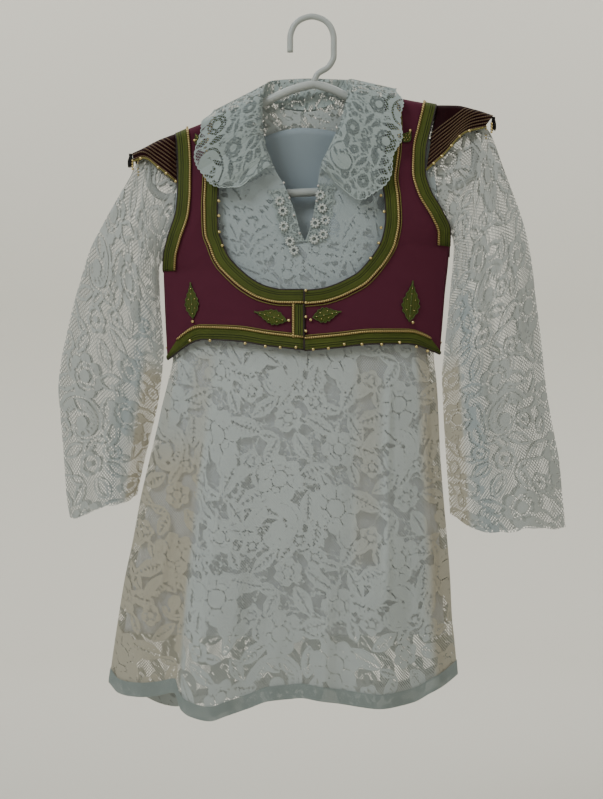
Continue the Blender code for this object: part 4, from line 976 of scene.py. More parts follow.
def materials(settings):
    """Every material of the costume, by what it is for; each is made once."""
    white, satin, green = (np.array(colour) for colour in (
        settings.lace_colour, settings.satin_colour, settings.ribbon_colour))
    pitch, thread = settings.net_pitch, settings.net_thread
    recipes = {
        # maker and name; lace: net, flower, pitch, thread, gap width
        "body": (lace_material, "body lace", 0.82 * white, 0.96 * white * PALE, pitch, thread, 0.8),
        "sleeve": (lace_material, "sleeve lace", 0.8 * white, 0.92 * white, pitch * 1.25, thread, 1.5),
        # the collar's lace is painted darker and bluer than the body's: painted shade
        "collar": (lace_material, "collar lace", 0.55 * white * SHADE_BLUE, 0.77 * white * SHADE_BLUE, pitch * 1.2,
                   thread * 1.15, 1.5),
        # the hem net, darker and denser, takes the same bluish painted shade
        "band": (lace_material, "hem net", 0.54 * white * SHADE_BLUE, 0.58 * white, pitch * 0.5, thread * 1.3, 0.5),
        # woven: two shades, roughness, threads across and along, height, gloss, tint of painted light and
        # shade
        # the lining's tint is painted warm light along strips in front
        "lining": (woven_material, "lining", (0.26, 0.30, 0.315), (0.30, 0.34, 0.355), 0.75, 9.0, 9.0,
                   0.15, 0.5, (0.27, 0.23, 0.16)),
        # the back's lining is the same cloth painted much lighter, as painted light in the low inside of the
        # back; its tint is painted shade high inside the back
        "shaded": (woven_material, "shaded lining", (0.70, 0.78, 0.81), (0.74, 0.82, 0.85), 0.75, 9.0, 9.0,
                   0.15, 0.5, (0.30, 0.355, 0.385)),
        # satin: its second shade, 2.4 times the first, is a painted sheen in broad patches
        "satin": (woven_material, "satin", satin, 2.4 * satin, 0.45, 11.0, 3.0, 0.05, 0.05),
        "green": (ribbon_material, "green ribbon", green, 1.7 * green, 0.3 * green),
        "wing": (woven_material, "wing cloth", (0.012, 0.002, 0.003), (0.020, 0.004, 0.005), 0.65, 6.0,
                 6.0, 0.1, 0.05),
        # cords: strand colour, painted shade in the grooves, roughness, metal, strands
        "gold": (cord_material, "gold cord", (0.52, 0.40, 0.16), (0.16, 0.10, 0.03), 0.35, 0.75, 2.6),
        "thin": (cord_material, "thin gold cord", (0.30, 0.26, 0.07), (0.10, 0.08, 0.015), 0.5, 0.4, 4.0),
        "leaf": (cord_material, "leaf cord", (0.10, 0.16, 0.02), (0.03, 0.05, 0.008), 0.6, 0.0, 4.0),
        "braid": (cord_material, "pale braid", (0.17, 0.105, 0.045), (0.04, 0.018, 0.010), 0.6, 0.2, 3.0),
        # plain: shade, roughness, metal, size of its patches
        "piping": (plain_material, "dark piping", (0.018, 0.006, 0.006), 0.6),
        "thread": (plain_material, "dark thread", (0.012, 0.010, 0.010), 0.7),
        "bead": (plain_material, "gold bead", (0.72, 0.56, 0.24), 0.25, 0.85, 90.0),
        "pearl": (plain_material, "pearl", (0.60, 0.57, 0.52), 0.25, 0.0, 90.0),
        "ring": (plain_material, "thick lace thread", 1.15 * white, 0.8, 0.0, 120.0),
        # the collar's cord takes the collar's painted shade
        "rim": (plain_material, "collar cord", 0.92 * white * SHADE_BLUE, 0.85, 0.0, 120.0),
        # the white plastic is painted grey: painted shade
        "plastic": (plain_material, "white plastic", (0.46, 0.48, 0.45), 0.38)}
    return {key: bpy.data.materials.get(name) or maker(name, *values)
            for key, (maker, name, *values) in recipes.items()}


# What repeats: beads and thread flowers, set on points


def point_tree(name, inputs):
    """A tree for shapes on points, with its named inputs and its result."""
    tree = bpy.data.node_groups.new(name, "GeometryNodeTree")
    for label, kind in {"Geometry": "Geometry", **inputs, "Material": "Material"}.items():
        tree.interface.new_socket(label, in_out="INPUT", socket_type=f"NodeSocket{kind}")
    tree.interface.new_socket("Geometry", in_out="OUTPUT", socket_type="NodeSocketGeometry")
    return tree, tree.nodes.new("NodeGroupInput").outputs, tree.nodes.new("NodeGroupOutput").inputs


def set_on_points(tree, given, result, shape, **settings):
    """The shape on every point, made real and painted."""
    copies = add_node(tree, "GeometryNodeInstanceOnPoints",
                      {"Points": given["Geometry"], "Instance": shape, **settings})
    real = add_node(tree, "GeometryNodeRealizeInstances", {0: copies.outputs[0]})
    painted = add_node(tree, "GeometryNodeSetMaterial",
                       {"Geometry": real.outputs[0], "Material": given["Material"]})
    tree.links.new(painted.outputs[0], result[0])
    return tree


def bead_tree(name):
    """A round bead, a little flattened, on every point."""
    tree, given, result = point_tree(name, {"Radius": "Float", "Flatness": "Float"})
    ball = add_node(tree, "GeometryNodeMeshIcoSphere", {"Radius": given["Radius"], "Subdivisions": 3})
    scale = add_node(tree, "ShaderNodeCombineXYZ", {0: 1.0, 1: given["Flatness"], 2: 1.0})
    return set_on_points(tree, given, result, ball.outputs[0], Scale=scale.outputs[0])


def flower_tree(name):
    """A small flower of thread on every point: a ring with a wreath of knots."""
    tree, given, result = point_tree(name, {"Radius": "Float", "Thread": "Float", "Knots": "Int"})
    reach = calc(tree, "MULTIPLY", given["Radius"], 1.42)
    ring, profile, wreath = (
        add_node(tree, "GeometryNodeCurvePrimitiveCircle", {"Resolution": count, "Radius": radius}).outputs[0]
        for count, radius in ((20, given["Radius"]), (6, given["Thread"]), (given["Knots"], reach)))
    cord = add_node(tree, "GeometryNodeCurveToMesh", {0: ring, "Profile Curve": profile})
    knot = add_node(tree, "GeometryNodeMeshIcoSphere",
                    {"Radius": calc(tree, "MULTIPLY", given["Thread"], 1.25), "Subdivisions": 2})
    knots = add_node(tree, "GeometryNodeInstanceOnPoints", {"Points": wreath, "Instance": knot.outputs[0]})
    both = add_node(tree, "GeometryNodeJoinGeometry")
    for part in (cord, knots):
        tree.links.new(part.outputs[0], both.inputs[0])
    return set_on_points(tree, given, result, both.outputs[0], Rotation=(math.radians(90.0), 0.0, 0.0))


POINT_TREES = {"Beads On Points": bead_tree, "Thread Flowers On Points": flower_tree}


def scatter(name, points, tree_name, values, material, slot):
    """Shapes set on points by a node tree, turned into one plain mesh."""
    mesh = bpy.data.meshes.new(name)
    mesh.from_pydata((np.array(points) * MM).tolist(), [], [])
    carrier = bpy.data.objects.new(name, mesh)
    bpy.context.scene.collection.objects.link(carrier)
    nodes = carrier.modifiers.new("points", "NODES")
    nodes.node_group = bpy.data.node_groups.get(tree_name) or POINT_TREES[tree_name](tree_name)
    sockets = {item.name: item.identifier for item in nodes.node_group.interface.items_tree
               if item.in_out == "INPUT"}
    for label, value in {**values, "Material": material}.items():
        nodes[sockets[label]] = value
    return place(name, applied(carrier, name), material, slot)


def add_beads(name, points, radius, material, slot, flatness=0.85):
    return scatter(name, points, "Beads On Points", {"Radius": radius * MM, "Flatness": flatness},
                   material, slot)


# Dress


CREASES_FRONT = [
    # share of the width at the top and low end, z of both ends, height, half width
    (0.825, 0.80, -372, -640, 2.6, 0.014), (0.70, 0.69, -380, -600, -1.6, 0.020),
    (0.955, 0.945, -385, -650, 1.8, 0.012), (0.10, 0.125, -400, -700, 1.6, 0.014),
    (0.52, 0.535, -392, -560, 1.3, 0.028), (0.36, 0.35, -570, -748, 2.0, 0.024),
    (0.63, 0.62, -610, -748, 1.8, 0.020), (0.45, 0.44, -640, -745, -1.4, 0.022),
    (0.90, 0.885, -560, -742, 1.6, 0.016), (0.265, 0.255, -470, -720, 1.5, 0.018),
    (0.05, 0.07, -285, -400, 1.0, 0.016), (0.94, 0.93, -262, -350, 1.0, 0.018)]
CREASES_BACK = [
    (0.22, 0.20, -385, -690, 2.2, 0.016), (0.31, 0.33, -470, -748, 1.8, 0.022),
    (0.47, 0.45, -372, -600, 1.4, 0.026), (0.61, 0.60, -520, -745, 2.2, 0.018),
    (0.70, 0.72, -400, -660, -1.5, 0.020), (0.83, 0.84, -430, -735, 1.9, 0.016),
    (0.92, 0.93, -390, -560, 1.4, 0.014), (0.09, 0.08, -420, -640, 1.6, 0.014)]


def crease_height(rows, share, down):
    """Soft ridges and troughs: share across, and down as z or as a share of a sleeve."""
    height = np.zeros(np.broadcast(share, down).shape)
    for top, low, start, end, rise, width in rows:
        place = np.clip((down - start) / (end - start), 0.0, 1.0)
        swell = smooth(place / 0.25) * smooth((1.0 - place) / 0.2 + 0.25)
        height = height + rise * swell * np.exp(-((share - mix(top, low, place)) / width) ** 2)
    return height


def body_y(x, z, side):
    share = share_across(side_x, x, z)
    creases = crease_height(CREASES_FRONT if side < 0 else CREASES_BACK, share, z)
    return side * (dress_depth(x, z, side) + creases * smooth(np.minimum(share, 1.0 - share) / 0.03))


def sheet_points(x, z, side):
    return np.stack([x, body_y(x, z, side), z], axis=2)


def upper_front(side, levels, columns):
    """The dress's front beside the slit, from the shoulder to the slit's foot."""
    left = side == "left"
    z_out = mix(DRESS_SIDE[side][0][0], SLIT_BOTTOM - 4.0, levels)
    outer = np.stack([side_x[side](z_out) + (BUTT if left else -BUTT), z_out], axis=1)[:, None]
    inner = route(NECKLINE[side])(levels)[:, None]
    share = (columns / MIDDLE if left else (1.0 - columns) / (1.0 - MIDDLE))[None, :, None]
    flat = mix(outer, inner, share)
    x, z = flat[..., 0], flat[..., 1]
    z[0] = shoulder(x[0])
    return sheet_points(x, z, -1)


def across_body(z, columns):
    """x across the body at each height, a hair inside the armholes' seams."""
    low, high = (side_x[side](z) + away * np.where(z > UNDERARM[side], BUTT, 0.0)
                 for side, away in (("left", 1.0), ("right", -1.0)))
    return mix(low, high, columns[None, :])


def lower_front(seam, levels, columns):
    z = mix(seam[None, :, 2], hem_front(columns)[None, :], levels[:, None])
    ease = np.clip(levels[:, None] / 0.25, 0.0, 1.0)
    return sheet_points(mix(seam[None, :, 0], across_body(z, columns), ease), z, -1)


def back_hem(column):
    calm = hem_front(0.5 + (column - 0.5) * 0.5) - BACK_DROP
    return mix(hem_front(np.round(column)), calm, smooth(np.minimum(column, 1.0 - column) / 0.2))


def neck_top(x, neck, reader, line):
    return np.where((x > neck[0][0]) & (x < neck[-1][0]), reader(x), line(x))


def dress_back(levels, columns):
    straight = mix(DRESS_SIDE["left"][0][1], DRESS_SIDE["right"][0][1], columns)
    top = neck_top(straight, NECK_BACK, neck_back, shoulder)
    z = mix(top[None, :], back_hem(columns)[None, :], levels[:, None])
    return sheet_points(across_body(z, columns), z, 1)


def hem_band(columns, hem, side):
    """The net band over the hem; it stops a hair short of it and has its own fine rows."""
    z = hem[None, :] + mix(BAND_HEIGHT, BAND_SHORT, np.linspace(0.0, 1.0, 7))[:, None]
    x = mix(side_x["left"](z), side_x["right"](z), columns[None, :])
    return lifted(sheet_points(x, z, side), side * LIFT)


def lace_sheet(node, grids, middles, material, ending="lace", flat=None, **chart):
    """A lace piece in place of its node: one layer of cloth that carries its chart."""
    name = f"{node}_{ending}"
    mesh = build_mesh(name, grids, lace_layers(grids, middles, **chart))
    piece = place(name, mesh, material, "lace", [node])
    width, length, area = flat_size(grids)


LINING_TOP = {-1: [(0.0, -200), (0.25, -225), (0.49, -252), (0.75, -225), (1.0, -195)],
              1: [(0.0, -190), (0.25, -135), (0.49, -118), (0.75, -130), (1.0, -180)]}
LINING_HEM = -675.0
LINING_INSET = 9.0
LINING_SHARE = 0.82
LINING_SPARE = 1.3
LINING_EASE = 26.0
LINING_ARMHOLE = (-215.0, 45.0)
WARM_STRIPS = [
    # strips of painted warm light: x and z at the top, x and z at the foot, half width
    (-117, -366, -152, -690, 13), (62, -372, 58, -600, 17), (137, -262, 128, -660, 7),
    (-149, -262, -170, -560, 7)]


def warm_light(x, z):
    """1 along the strips where warm light coming through the dress is painted in."""
    warm = np.zeros_like(x)
    for x_top, z_top, x_low, z_low, half in WARM_STRIPS:
        share = (z - z_top) / (z_low - z_top)
        ends = smooth(share / 0.08 + 0.5) * smooth((1.0 - share) / 0.08 + 0.5)
        warm = np.maximum(warm, ends * np.exp(-((x - mix(x_top, x_low, share)) / half) ** 4))
    return warm


def lining_depth(x, z, side):
    """The lining hangs inside the dress and has none of its folds."""
    low = x - side_x["left"](z) - LINING_INSET
    high = side_x["right"](z) - LINING_INSET - x
    start, height = LINING_ARMHOLE
    ease = mix(1.0, smooth(np.minimum(low, high) / LINING_EASE), smooth((start - z) / height))
    inside = LINING_SHARE * dress_depth(x, z, side, folds=False) - LINING_SPARE
    return np.maximum(SEAM, mix(SEAM, inside, ease))


def add_lining(paint):
    """Plain cloth inside the dress: painted warm light along strips in front; behind, painted light below and
    painted shade high inside the back.
    """
    columns = np.linspace(0.0, 1.0, 71)
    for node, side in (("lining_front", -1), ("lining_back", 1)):
        top = curve(LINING_TOP[side])(columns)
        z = mix(top[None, :], LINING_HEM, np.linspace(0.0, 1.0, 81)[:, None])
        x = mix(side_x["left"](z) + LINING_INSET, side_x["right"](z) - LINING_INSET, columns[None, :])
        grid = np.stack([x, side * lining_depth(x, z, side), z], axis=2)
        # painted light and shade: warm strips in front; behind, 1 is painted shade high up and 0 the painted
        # light lower down
        warm = warm_light(x, z) if side < 0 else smooth((z + 225.0) / 40.0)
        cloth(node, grid, paint["lining" if side < 0 else "shaded"], "lining", wall=LINING_WALL, warm=warm)


def dress_tone(grid):
    """Painted warm light where light comes through at the left, under the step, and along the right side;
    painted cool shade high on the front.
    """
    x, z = grid[..., 0], grid[..., 2]
    share = share_across(side_x, x, z)
    left = smooth((mix(STEP_FOLD["top"], STEP_FOLD["hem"], step_ease(z)) - share) / 0.02 + 0.5)
    right = smooth((share - 0.93) / 0.04 + 0.5)
    warm = np.maximum(left * smooth((-400.0 - z) / 110.0), right * smooth((-300.0 - z) / 60.0))
    warm = np.maximum(warm, 0.55 * warm_light(x, z))
    return warm - 0.75 * (1.0 - warm) * smooth((z + 340.0) / 60.0)


def add_dress(paint):
    """The lace front and back with their hem bands and the slit's trims."""
    left_columns = np.linspace(0.0, MIDDLE, FRONT_MIDDLE + 1)
    right_columns = np.linspace(MIDDLE, 1.0, 97)
    levels = np.linspace(0.0, 1.0, 91) ** 1.3
    left = upper_front("left", levels, left_columns)
    right = upper_front("right", levels, right_columns)
    columns = np.concatenate([left_columns, right_columns[1:]])
    seam = np.concatenate([left[-1], right[-1, 1:]])
    lower = lower_front(seam, np.linspace(0.0, 1.0, 251), columns)
    flat = (flat_size([lower])[0], sum(flat_size([grid])[1] for grid in (left, lower)))
    lace_sheet("dress_front", [left, right, lower], [FRONT_MIDDLE, 0, FRONT_MIDDLE], paint["body"],
               flat=flat, spread=BODY_SPREAD, tone=dress_tone)
    back_columns = np.linspace(0.0, 1.0, 2 * BACK_MIDDLE + 1)
    back = dress_back(np.linspace(0.0, 1.0, 241) ** 1.15, back_columns)
    lace_sheet("dress_back", [back], [BACK_MIDDLE], paint["body"], spread=BODY_SPREAD)
    for node, side, places, hem, middle in (
            ("hem_band_front", -1, columns, hem_front, FRONT_MIDDLE),
            ("hem_band_back", 1, back_columns, back_hem, BACK_MIDDLE)):
        lace_sheet(node, [hem_band(places, hem(places), side)], [middle], paint["band"], "net", size=0.0)
    start = int(np.searchsorted(levels, TRIM_START))
    for side, grid, away in (("left", left[:, ::-1], -1.0), ("right", right, 1.0)):
        edge = np.array(grid[start:, :TRIM_COLUMNS])
        wave = 1.5 * np.sin(np.linspace(0.0, 1.0, len(edge)) * 26.0) * away
        edge[:, :, 0] += wave[:, None] * np.linspace(0.0, 1.0, TRIM_COLUMNS)[None, :] ** 2
        edge[:, :, 1] = body_y(edge[:, :, 0], edge[:, :, 2], -1)
        lace_sheet(f"slit_trim_{side}", [lifted(edge, -LIFT)], [0], paint["collar"], size=0.35)


def from_photo(px, py):
    """Across and up in millimetres, from a place measured on the picture."""
    return (px - PICTURE_MIDDLE) * PIXEL, -(py - PICTURE_ORIGIN) * PIXEL


def on_cloth(place_at, reader, side, lift):
    """The point above the cloth at an x and z; the reader gives the cloth's y."""
    x, z = place_at
    return (x, float(reader(np.array(x), np.array(z), side)) + side * lift, z)


def add_slit_flowers(paint):
    """Thread flowers on both slit trims, and a row of small pearls."""
    rings, pearls = ([on_cloth(from_photo(*spot), body_y, -1, lift) for spot in spots]
                     for spots, lift in ((SLIT_RINGS, LIFT + 1.0), (SLIT_PEARLS, LIFT + 1.2)))
    scatter("slit_flowers", rings, "Thread Flowers On Points",
            {"Radius": 3.0 * MM, "Thread": 0.95 * MM, "Knots": 9}, paint["ring"], "lace")
    add_beads("slit_pearls", pearls, 1.3, paint["pearl"], "pearl", 1.0)


# Sleeves and collar


SLEEVE_CREASES = {
    "left": [(0.42, 0.50, 0.12, 0.70, 1.8, 0.035), (0.80, 0.72, 0.2, 0.95, 1.6, 0.04),
             (0.18, 0.24, 0.35, 1.0, 1.4, 0.03), (0.55, 0.38, 0.45, 1.0, -1.3, 0.05)],
    "right": [(0.44, 0.36, 0.10, 0.62, 2.0, 0.035), (0.76, 0.84, 0.25, 1.0, 1.6, 0.04),
              (0.15, 0.22, 0.3, 0.85, 1.3, 0.03), (0.50, 0.60, 0.5, 1.0, -1.3, 0.05)]}


def sleeve_grid(name, side, down, share):
    """Half a sleeve, from the armhole to the cuff and from its outer to its inner edge."""
    spec = SLEEVES[name]
    outer, inner, cuff = (np.array(spec[key], dtype=float) for key in ("outer", "inner", "cuff"))
    heights = np.linspace(DRESS_SIDE[name][0][0], UNDERARM[name], 7)
    armhole = np.stack([side_x[name](heights) + spec["away"] * BUTT, heights], axis=1)
    armhole[0], armhole[-1] = outer[0], inner[0]
    first, last = route(armhole)(share)[None], route(cuff)(share)[None]
    out_point, in_point = route(outer)(down)[:, None], route(inner)(down)[:, None]
    s, d = share[None, :, None], down[:, None, None]
    flat = mix(out_point, in_point, s)
    flat = flat + mix(first - mix(outer[0], inner[0], s), last - mix(cuff[0], cuff[-1], s), d)
    across, low = share[None, :], down[:, None]
    depth = SEAM + sleeve_full(low) * (1.0 - np.abs(2.0 * across - 1.0) ** BODY_FULLNESS)
    edge = smooth(np.minimum(across, 1.0 - across) / 0.12)
    for top, foot, height, width in spec["folds"]:
        middle = mix(top, foot, low)
        depth = depth + height * smooth(low / 0.3) * edge * np.exp(-((across - middle) / width) ** 2)
    gap = across * np.linalg.norm(in_point - out_point, axis=2)
    cap = NECK_TOP * quarter(gap / SHOULDER_ROUND) * (1.0 - smooth((gap - CAP_FLAT) / CAP_FALL))
    depth = np.maximum(depth, SEAM + cap * (1.0 - smooth((low - CAP_END) / CAP_FADE)))
    depth = depth + edge * crease_height(SLEEVE_CREASES[name], across, low)
    start = dress_depth(first[..., 0], first[..., 1], side)
    start = np.where((across > 0.0) & (across < 1.0), start, SEAM)
    return np.stack([flat[..., 0], side * mix(start, depth, smooth(low / 0.12)), flat[..., 1]], axis=2)


def sleeve_tone(down, share):
    """Painted warm light along the inner edge below the elbow, and painted cool shade in the fold beside it.
    """
    warm = smooth((share - 0.80) / 0.06 + 0.5) * smooth((down - 0.42) / 0.12)
    cool = 0.8 * np.exp(-((share - mix(0.86, 0.62, down)) / 0.14) ** 2) * smooth((down - 0.18) / 0.2)
    return warm - (1.0 - warm) * cool


def add_sleeves(paint):
    """Wide unlined sleeves, each in two halves; the cuff's edge is ragged with small loops."""
    share = np.linspace(0.0, 1.0, 65)
    down = np.linspace(0.0, 1.0, 201)
    ragged = 1.6 * np.abs(np.sin(share * 17.0)) * np.exp(-((1.0 - down)[:, None] / 0.02) ** 2)
    for name in SLEEVES:
        for face, side in (("front", -1), ("back", 1)):
            grid = sleeve_grid(name, side, down, share)
            grid[:, :, 2] -= ragged
            lace_sheet(f"sleeve_{name}_{face}", [grid], [32], paint["sleeve"], size=0.84,
                       tone=lambda _: sleeve_tone(down[:, None], share[None, :]))


def collar_seam(x, z, off):
    """A point of the collar's seam: off the front, at the shoulder, or above the back's neck."""
    if off < 0.0:
        return x, off - float(dress_depth(x, z, -1)), z
    if off == 0.0:
        return x, 0.0, z
    neck = float(neck_back(x))
    return x, float(dress_depth(x, neck, 1)), neck + COLLAR_STAND


def add_collar(paint):
    """One strip of dense lace that stands at the neck and folds out over the waistcoat."""
    read = keyed(np.linspace(0.0, 1.0, len(COLLAR)), COLLAR)
    places = np.linspace(0.0, 1.0, 37)
    share = np.linspace(0.0, 1.0, 601)
    seam = keyed(places, [collar_seam(*row[:3]) for row in read(places)])(share)
    values = read(share)
    fold, plain_edge = values[:, 3:6], values[:, 6:9]
    wave = 0.5 - 0.5 * np.cos(2.0 * math.pi * COLLAR_SCALLOPS * share)
    loops = COLLAR_LOOP * np.abs(np.sin(2.0 * math.pi * COLLAR_LOOPS * share))
    out = plain_edge - fold
    out = out / np.linalg.norm(out, axis=1, keepdims=True)
    edge = plain_edge + out * (SCALLOP_DEPTH * (wave - 0.5) + loops)[:, None]
    ripple = COLLAR_RIPPLE * np.sin(math.pi * COLLAR_SCALLOPS * share)
    columns = [mix(seam, fold, step) for step in np.linspace(0.0, 1.0, 9)]
    for step in np.linspace(0.0, 1.0, 37)[1:]:
        point = mix(fold, edge, step)
        point[:, 1] = mix(fold[:, 1], edge[:, 1], quarter(step / COLLAR_ROLL))
        point[:, 1] += np.copysign(ripple * step, edge[:, 1])
        columns.append(point)
    grid = np.stack(columns, axis=1)
    reach = running(grid, 1)
    cut = flat_cut(running(grid[:, 26])[:, None], reach)
    inside, gap = lace_chart(cut, 0.62, 14)
    mesh = build_mesh("collar_lace", [grid],
                      {"cut": [cut], "lace_cloth": [inside + COLLAR_SPREAD], "lace_gap": [gap]})
    piece = place("collar_lace", mesh, paint["collar"], "lace", ["collar"])
    float(running(plain_edge)[-1])
    flat_size([grid])[2]
    place("collar_edge", tube_mesh([grid[:, -1]], [0.55], 6), paint["rim"], "lace")


# Waistcoat


FINE_ROWS = 6
FINE_COLUMNS = 4
RIBBON_END = 10            # the fine column where a front's ribbon ends
THIN_START = 12
THIN_CORD_OFF = 1.5
FRONT_RIBBON_POINTS = 17
VEST_CREASES = [
    # middle x, z, half length, half width, lean, height
    (-118, -300, 26, 4.0, 0.35, 0.9), (-100, -318, 20, 3.5, -0.2, 0.7), (112, -292, 24, 4.0, -0.4, 0.9),
    (92, -312, 20, 3.0, 0.25, 0.7), (-60, -330, 22, 3.5, 0.15, 0.6), (60, -330, 24, 3.5, -0.15, 0.6),
    (-124, -222, 16, 3.5, 1.2, 0.8), (104, -215, 16, 3.5, -1.2, 0.8), (-122, -262, 14, 3.0, 0.7, 0.7),
    (106, -255, 16, 3.0, -0.8, 0.7)]


def vest_y(x, z, side):
    height = np.zeros(np.shape(x))
    for x_mid, z_mid, length, width, lean, rise in VEST_CREASES:
        along = (x - x_mid) * math.cos(lean) + (z - z_mid) * math.sin(lean)
        off = -(x - x_mid) * math.sin(lean) + (z - z_mid) * math.cos(lean)
        height = height + rise * np.exp(-(along / length) ** 2 - (off / width) ** 2)
    return side * (vest_depth(x, z, side) + height)


def turn(edge, i, inward):
    """Direction square to an edge at its point i, on the side of inward, and its stretch."""
    if i <= len(ROUND_ROWS) or i == len(edge) - 1:
        near = edge[i + 1] if i < len(edge) - 1 else edge[-2]
        line = (edge[i] - near) / np.linalg.norm(edge[i] - near)
        row = inward / np.linalg.norm(inward)
        return row, abs(row[0] * line[1] - row[1] * line[0])
    before = (edge[i] - edge[i - 1]) / np.linalg.norm(edge[i] - edge[i - 1])
    after = (edge[i + 1] - edge[i]) / np.linalg.norm(edge[i + 1] - edge[i])
    line = (before + after) / np.linalg.norm(before + after)
    square = np.array([line[1], -line[0]])
    if square @ inward < 0.0:
        square = -square
    return square, math.sqrt((1.0 + before @ after) / 2.0)


def on_vest(flat, side, line=True):
    """Points of the waistcoat over an x, z grid, its top row on the shoulder line."""
    x, z = flat[..., 0], np.array(flat[..., 1])
    if line:
        z[0] = vest_line(x[0])
    return np.stack([x, vest_y(x, z, side), z], axis=2)


def vest_front_grid(name):
    """A front: each row runs from the neck edge to the outer edge, finer than its solid."""
    table = np.array(VEST_FRONTS[name], dtype=float)
    table = np.array([table[0], *(mix(table[0], table[1], share) for share in ROUND_ROWS), *table[1:]])
    inner, outer = table[:, :2], table[:, 2:]
    rows = []
    for i in range(len(table)):
        away, stretch = turn(inner, i, outer[i] - inner[i])
        starts = [inner[i] + away * step / stretch for step in NECK_TRIM]
        away, stretch = turn(outer, i, inner[i] - outer[i])
        stops = [outer[i] + away * step / stretch for step in EDGE_TRIM[::-1]]
        between = [mix(starts[-1], stops[0], k / 3.0) for k in (1, 2)]
        rows.append(starts + between + stops)
    return on_vest(finer(rows, FINE_ROWS, FINE_COLUMNS), -1)


def ribbon(node, grid, side, paint):
    """A green ribbon laid on the waistcoat, a hair above it; its places run from its outer edge."""
    grid = lifted(grid, side * LIFT)
    along, across = running(grid, 0), running(grid, 1)
    turned = across.max() > along.max()
    if turned:
        along, across = across, along
    if node.startswith(("armhole_ribbon", "hem_ribbon", "front")) and not node.endswith("left_back"):
        across = across.max(axis=0 if turned else 1, keepdims=True) - across
    cloth(node, grid, paint["green"], "ribbon", wall=RIBBON_WALL, cut=flat_cut(across, along))


def add_vest_front(name, paint, cords):
    """One front of satin with its ribbons; the lines of its cords and piping are kept."""
    grid = vest_front_grid(name)
    cloth(f"vest_front_{name}", grid, paint["satin"], "satin", "satin")
    foot, corner = ((row + len(ROUND_ROWS)) * FINE_ROWS for row in (ARMHOLE_END, SIDE_END))
    foot, corner = foot + 1, corner - 2
    high, low, edge = (lifted(grid, -lift) for lift in (LIFT + CORD_LIFT, CORD_LIFT, PIPING_LIFT))
    outer = -RIBBON_END - 1
    ribbon(f"neck_ribbon_{name}", grid[:, :RIBBON_END + 1], -1, paint)
    ribbon(f"armhole_ribbon_{name}", grid[:foot, outer:], -1, paint)
    ribbon(f"hem_ribbon_{name}", grid[corner:, outer:], -1, paint)
    cords["gold"] += [high[:, RIBBON_END], high[:foot, outer], high[corner:, outer]]
    for start, after in ((low[:, THIN_START], low[:, THIN_START + 1]),
                         (low[corner:, -THIN_START - 1], low[corner:, -THIN_START - 2])):
        away = after - start
        cords["thin"].append(start + THIN_CORD_OFF * away / np.linalg.norm(away, axis=1, keepdims=True))
    cords["piping"] += [edge[:, 0], edge[:foot, -1], edge[corner:, -1], edge[-1]]


def add_front_ribbon(paint, cords):
    """The short ribbon that runs on from the left front's lower edge."""
    last = vest_front_grid("left")[-1, THIN_START:THIN_START + FRONT_RIBBON_POINTS]
    steps = np.linspace(FRONT_RIBBON, 0.0, 9)[:, None]
    x = last[0, 0] - np.repeat(steps, FRONT_RIBBON_POINTS, axis=1)
    z = np.repeat(np.linspace(last[0, 2], last[-1, 2], FRONT_RIBBON_POINTS)[None], 9, axis=0)
    front = np.stack([x, vest_y(x, z, -1), z], axis=2)
    ribbon("front_ribbon", front, -1, paint)
    cords["gold"].append(lifted(front, -(LIFT + CORD_LIFT))[1])
    cords["piping"].append(lifted(front, -(LIFT + 0.8))[-1])


def vest_back_flat(level, column):
    """x and z of the back at a level and a column, which follow its trims near the edges."""
    straight = mix(VEST_FRONTS["left"][0][2], VEST_FRONTS["right"][0][2], column)
    top = float(neck_top(straight, VEST_BACK_NECK, vest_back_neck, vest_line))
    hem = float(vest_back_hem(column))
    steps = {"round": top - 3.0, "neck": top - NECK_TRIM[1], "neck_end": top - NECK_TRIM[3],
             "hem_top": hem + EDGE_TRIM[3], "hem_low": hem + EDGE_TRIM[1]}
    z = steps[level] if level in steps else mix(top, hem, level)
    low, high = float(vest_edge["left"](z)), float(vest_edge["right"](z))
    for number, step in ((1, EDGE_TRIM[1]), (2, EDGE_TRIM[3])):
        if column == VEST_BACK_COLUMNS[number]:
            return low + step, z
        if column == VEST_BACK_COLUMNS[-1 - number]:
            return high - step, z
    return mix(low, high, column), z


def add_vest_back(paint, cords):
    """The satin back with its ribbons, and the lines of its cords and piping."""
    flat = [[vest_back_flat(level, column) for column in VEST_BACK_COLUMNS] for level in VEST_BACK_LEVELS]
    grid = on_vest(finer(flat, FINE_ROWS, FINE_COLUMNS), 1, line=False)
    cloth("vest_back", grid, paint["satin"], "satin", "satin")
    foot, low = VEST_BACK_ARMHOLE * FINE_ROWS + 1, 2 * FINE_ROWS
    neck = slice(5 * FINE_COLUMNS, -5 * FINE_COLUMNS)
    ribbon("neck_ribbon_back", grid[:low + 1, neck], 1, paint)
    ribbon("armhole_ribbon_left_back", grid[:foot, :7], 1, paint)
    ribbon("armhole_ribbon_right_back", grid[:foot, -7:], 1, paint)
    ribbon("hem_ribbon_back", grid[-low + 2:], 1, paint)
    high, edge = lifted(grid, LIFT + CORD_LIFT), lifted(grid, PIPING_LIFT)
    cords["gold"] += [high[low, neck], high[:foot, 6], high[:foot, -7], high[-low + 1]]
    cords["piping"] += [edge[0, neck], edge[:foot, 0], edge[:foot, -1], edge[-1]]


def add_waistcoat(paint):
    """Both fronts and the back of satin, with green ribbons, gold cords and a dark piping."""
    cords = {"gold": [], "thin": [], "piping": []}
    for name in VEST_FRONTS:
        add_vest_front(name, paint, cords)
    add_front_ribbon(paint, cords)
    add_vest_back(paint, cords)
    add_cords("gold_cords", cords["gold"], 1.35, paint["gold"], "gold_cord")
    add_cords("thin_gold_cords", cords["thin"], 0.7, paint["thin"], "gold_cord")
    add_cords("edge_piping", cords["piping"], 0.9, paint["piping"], "satin")


